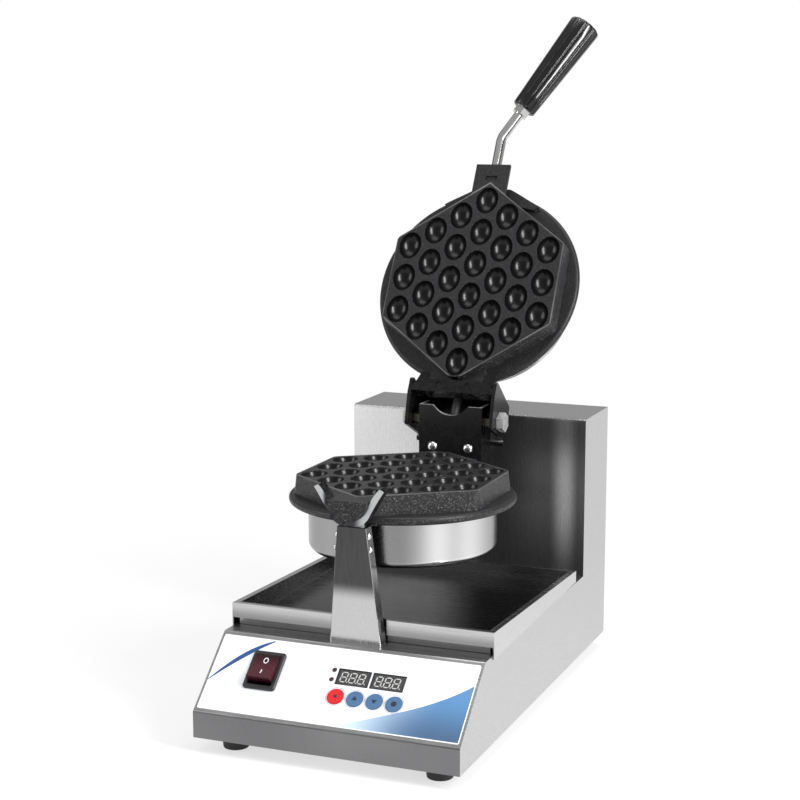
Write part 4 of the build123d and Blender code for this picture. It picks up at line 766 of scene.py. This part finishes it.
# printed arc and swoosh on the label
print_low, print_high = label_face + 2 * lift, label_face + 0.07
arc_through = ((-122.2, 33), (-96, 61.7), (-70.5, 79.4))
arc_steps, arc_thin, arc_swell = 40, 0.35, 1.9
arc_rows = []
for i in range(arc_steps):
    share = i / arc_steps
    x, up = through(*arc_through, share)
    width = arc_thin + arc_swell * sin(pi * share)
    arc_rows.append(((x - width * 0.6, up + width * 0.8), (x + width * 0.6, up - width * 0.8)))
points, faces = strips(arc_rows, print_low, print_high, on_panel)
piece("printed_arc", points, faces, arc_ink, "stand")

swoosh_left, swoosh_right = ((8, 5.2), (29, 12.5), (52, 21.4)), ((52, 21.4), (92, 39.5), (121.8, 60))
swoosh_foot, swoosh_steps = 5.0, 60
swoosh_rows = []
for i in range(swoosh_steps + 1):
    share = 2 * i / swoosh_steps
    top = through(*swoosh_left, share) if share < 1 else through(*swoosh_right, share - 1)
    swoosh_rows.append((top, (top[0], swoosh_foot)))
points, faces = strips(swoosh_rows, print_low, print_high, on_panel)
piece("printed_swoosh", points, faces, swoosh_ink, "stand")

# I and O on the rocker, in the rocker's own tilted frame
rocker_x, rocker_up, rocker_pivot_depth, rocker_tilt = -71.5, 48, 2.5, radians(10)
rocker_slope = slope - rocker_tilt
rocker_along = Vector((0, cos(rocker_slope), sin(rocker_slope)))
rocker_out = Vector((0, -sin(rocker_slope), cos(rocker_slope)))
rocker_origin = (
    panel_origin + Vector((rocker_x, 0, 0)) + panel_up * rocker_up - panel_out * rocker_pivot_depth
)
rocker_rise, rocker_dip, rocker_half = 10.8, 2.2, 13.5
bar_half_width, bar_foot, bar_step = 0.45, -8.3, 0.5
ring_along, ring_narrow, ring_radii, ring_steps = 6.4, 0.8, (2.1, 2.9), 32
rocker_mark_heights = (0.02, 0.12)


def on_rocker(x, along, out):
    """A point over the rocker's hollow face."""
    surface = rocker_rise - rocker_dip + rocker_dip * (along / rocker_half) ** 2
    way = rocker_along * along + rocker_out * (surface + out)
    return (rocker_origin + Vector((x, 0, 0)) + way) * millimetre


bar_rows = []
for i in range(10):
    along = bar_foot + bar_step * i
    bar_rows.append(((-bar_half_width, along), (bar_half_width, along)))
ring_rows = []
for i in range(ring_steps + 1):
    turn = 2 * pi * i / ring_steps
    ring_rows.append([
        (r * ring_narrow * cos(turn), ring_along + r * sin(turn)) for r in ring_radii
    ])
points, faces = strips(bar_rows, *rocker_mark_heights, on_rocker)
add_mesh(points, faces, *strips(ring_rows, *rocker_mark_heights, on_rocker, ring=True))
piece("rocker_marks", points, faces, ring_white, "rocker")


# ----------------------------------------------- the lid's yoke, lug and handle
def across_lid(along, depth, x):
    return on_lid(x, along, depth)


# back plate of the yoke: open below its middle, where the cable passes
yoke_half_width, yoke_opening = 42.4, 7.5
wing_section = [(-111, 27.5), (-112.3, 36), (-114.3, 36), (-113, 27.5)]
back_section = [
    (-112.3, 36), (-114.2, 49), (-126, 50.4), (-126, 48.4), (-116, 47.2), (-114.3, 36),
]
points, faces = slabs([back_section], -yoke_half_width, yoke_half_width, across_lid)
for ends in ((-yoke_half_width, -yoke_opening), (yoke_opening, yoke_half_width)):
    add_mesh(points, faces, *slabs([wing_section], *ends, across_lid))
piece("yoke_back", points, faces, black_steel, "lid")

gusset = [(26, -98), (38, -99), (45.9, -117.5), (45.9, -121.4), (26, -121.4)]
gusset_depths = (9.02, 20)
points, faces = slabs(mirrored(gusset), *gusset_depths, on_lid)
piece("lug_gussets", points, faces, black_steel, "lid")

# concave webs from the neck into the rim of the lid
web = [
    (11, 108.6), (17.5, 108.6), (20, 107.6), (23.5, 105.8), (27.5, 103.6), (32, 101.0),
    (36.5, 98.5), (41, 96.0), (46, 93.2), (51, 90.0), (47, 86), (11, 92),
]
web_depths = (14, 25.2)
points, faces = slabs(mirrored(web), *web_depths, on_lid)
piece("neck_webs", points, faces, coats["upper_mould"], "lid")

# the tapered grip, fluted along its length, with rounded ends
grip_turn, grip_from_bend, grip_length = radians(27.5), 38, 112
bend_along, bend_depth = 165, 8.5
small_radius, large_radius = 12.6, 17.2
flute_count, flute_depth, flute_half = 12, 1.25, radians(6.5)
flute_pitch, steps_round, straight_steps = 2 * pi / flute_count, flute_count * 14, 8
grip_way = lid_along * cos(grip_turn) + Vector((sin(grip_turn), 0, 0))
grip_side = lid_along * sin(grip_turn) - Vector((cos(grip_turn), 0, 0))
grip_third = grip_way.cross(grip_side)
grip_base = on_lid(0, bend_along, bend_depth) / millimetre + grip_way * grip_from_bend
lower_end = [(0, -3.4), (0.2, -2.2), (0.9, -0.9), (2.2, 0)]
upper_end = [
    (grip_length - 1.6, -0.45), (grip_length - 0.5, -1.4), (grip_length, -3.0), (grip_length, -9.0),
]
straight = [(2.2 + (grip_length - 5.2) * k / straight_steps, 0) for k in range(1, straight_steps + 1)]
profile = lower_end + straight + upper_end
grip_points, grip_faces = [], []
for height, shrink in profile:
    radius = small_radius + (large_radius - small_radius) * height / grip_length + shrink
    for i in range(steps_round):
        turn = 2 * pi * i / steps_round
        off = abs((turn + flute_pitch / 2) % flute_pitch - flute_pitch / 2)
        groove = flute_depth * cos(pi / 2 * off / flute_half) ** 2 if off < flute_half else 0
        groove *= min(1, max(0, 1 + (shrink + 1.4) / 3))
        out = grip_side * cos(turn) + grip_third * sin(turn)
        grip_points.append((grip_base + grip_way * height + out * (radius - groove)) * millimetre)
for ring in range(len(profile) - 1):
    for i in range(steps_round):
        a, b = ring * steps_round + i, ring * steps_round + (i + 1) % steps_round
        grip_faces.append([a, b, b + steps_round, a + steps_round])
grip_faces.append(list(reversed(range(steps_round))))
grip_faces.append([(len(profile) - 1) * steps_round + i for i in range(steps_round)])
grip = piece("fluted_grip", grip_points, grip_faces, grip_plastic, "lid")
shade_smooth(grip.data)
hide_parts("handle_grip")


# ------------------------------------------------------- the cable at the hinge
# from inside the hollow shaft, up behind the bracket and into the lid's cover
cable_radius = 4.4
cable_route = [
    (0, 160, 228.2), (0, 130, 228.2), (0, 104, 228.4), (0, 100.5, 240), (0, 101, 254),
    (0, 110, 268), (0, 122, 279), (0, 134, 286.5), (0, 145.5, 289), (0, 149, 289.5),
]
curve = bpy.data.curves.new("hinge_cable", "CURVE")
curve.dimensions = "3D"
spline = curve.splines.new("NURBS")
spline.points.add(len(cable_route) - 1)
for point, place in zip(spline.points, cable_route):
    point.co = (*[value * millimetre for value in place], 1)
spline.order_u = 3
spline.use_endpoint_u = True
spline.resolution_u = 12
curve.bevel_depth = cable_radius * millimetre
curve.bevel_resolution = 5
curve.use_fill_caps = True
curve_object = bpy.data.objects.new("hinge_cable_line", curve)
scene.collection.objects.link(curve_object)
bpy.context.view_layer.update()
cable_mesh = bpy.data.meshes.new_from_object(curve_object)
bpy.data.objects.remove(curve_object)
cable = bpy.data.objects.new("hinge_cable", cable_mesh)
scene.collection.objects.link(cable)
cable_mesh.materials.clear()
cable_mesh.materials.append(sleeve.material)
shade_smooth(cable_mesh)
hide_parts("lid_cable")
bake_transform(cable)


# -------------------------------------------------------------- stage and light
floor_reach, shadow_room = 6.0, (0.30, 0.75)
floor_glow, room_glow = 0.62, 0.42


def stage_material(name, colour, near_share):
    """Matte floor, white to the camera and in metal, less so near the object for its shadow."""
    shader = Shader(name, colour, 0.0, 0.9)
    output = shader.tree.nodes["Material Output"]
    glow = shader.node("ShaderNodeEmission")
    glow.inputs["Color"].default_value = (1, 1, 1, 1)
    path = shader.node("ShaderNodeLightPath")
    seen = shader.maths("MAXIMUM", path.outputs["Is Camera Ray"], path.outputs["Is Glossy Ray"])
    seen = shader.maths("MAXIMUM", seen, path.outputs["Is Transmission Ray"])
    blend = shader.node("ShaderNodeMixShader")
    away = shader.node("ShaderNodeVectorMath", operation="LENGTH")
    shader.link(shader.place, away.inputs[0])
    share = shader.span(away.outputs["Value"], *shadow_room, near_share, 1, True)
    shader.link(shader.product(seen, share), blend.inputs["Fac"])
    shader.link(shader.principled.outputs["BSDF"], blend.inputs[1])
    shader.link(glow.outputs["Emission"], blend.inputs[2])
    shader.link(blend.outputs["Shader"], output.inputs["Surface"])
    return shader


floor_mesh = bpy.data.meshes.new("floor")
corners = [(x * floor_reach, y * floor_reach, 0) for x, y in ((-1, -1), (1, -1), (1, 1), (-1, 1))]
floor_mesh.from_pydata(corners, [], [(0, 1, 2, 3)])
floor = bpy.data.objects.new("floor", floor_mesh)
scene.collection.objects.link(floor)
floor_mesh.materials.append(stage_material("floor_white", grey(0.86), floor_glow).material)

# the world is white to the camera and lights the object softly
world = bpy.data.worlds.new("studio")
scene.world = world
world.use_nodes = True
tree = world.node_tree
background = tree.nodes["Background"]
background.inputs["Color"].default_value = (1, 1, 1, 1)
light_path = tree.nodes.new("ShaderNodeLightPath")
either = tree.nodes.new("ShaderNodeMath")
either.operation = "MAXIMUM"
tree.links.new(light_path.outputs["Is Camera Ray"], either.inputs[0])
tree.links.new(light_path.outputs["Is Transmission Ray"], either.inputs[1])
level = tree.nodes.new("ShaderNodeMapRange")
level.inputs["To Min"].default_value = room_glow
level.inputs["To Max"].default_value = 1.0
tree.links.new(either.outputs["Value"], level.inputs["Value"])
tree.links.new(level.outputs["Result"], background.inputs["Strength"])


def soft_lamp(name, place, aim, size, power):
    lamp = bpy.data.lights.new(name, "AREA")
    lamp.shape = "RECTANGLE"
    lamp.size, lamp.size_y = size
    lamp.energy = power
    obj = bpy.data.objects.new(name, lamp)
    scene.collection.objects.link(obj)
    obj.location = place
    obj.rotation_euler = (Vector(aim) - Vector(place)).to_track_quat("-Z", "Y").to_euler()


soft_lamp("key_lamp", (-1.7, -1.1, 1.0), (0, 0, 0.25), (0.9, 1.2), 20)
soft_lamp("right_lamp", (1.5, -0.5, 1.10), (0, 0.1, 0.35), (0.3, 1.2), 42)
soft_lamp("top_lamp", (0.1, 0.3, 1.9), (0, 0, 0.1), (1.4, 1.4), 17)


# ------------------------------------------------------------------- camera
camera_place = (0.60887, -1.55425, 0.57673)
azimuth, elevation = radians(21.94), radians(9.80)
right = Vector((cos(azimuth), sin(azimuth), 0))
back = Vector((sin(azimuth) * cos(elevation), -cos(azimuth) * cos(elevation), sin(elevation)))
above = back.cross(right)
camera_data = bpy.data.cameras.new("camera")
camera_data.lens = 80.94
camera_data.sensor_width = 36
camera_data.clip_end = 50
camera = bpy.data.objects.new("camera", camera_data)
scene.collection.objects.link(camera)
camera_axes = Matrix((right, above, back)).transposed().to_4x4()
camera.matrix_world = Matrix.Translation(camera_place) @ camera_axes
scene.camera = camera
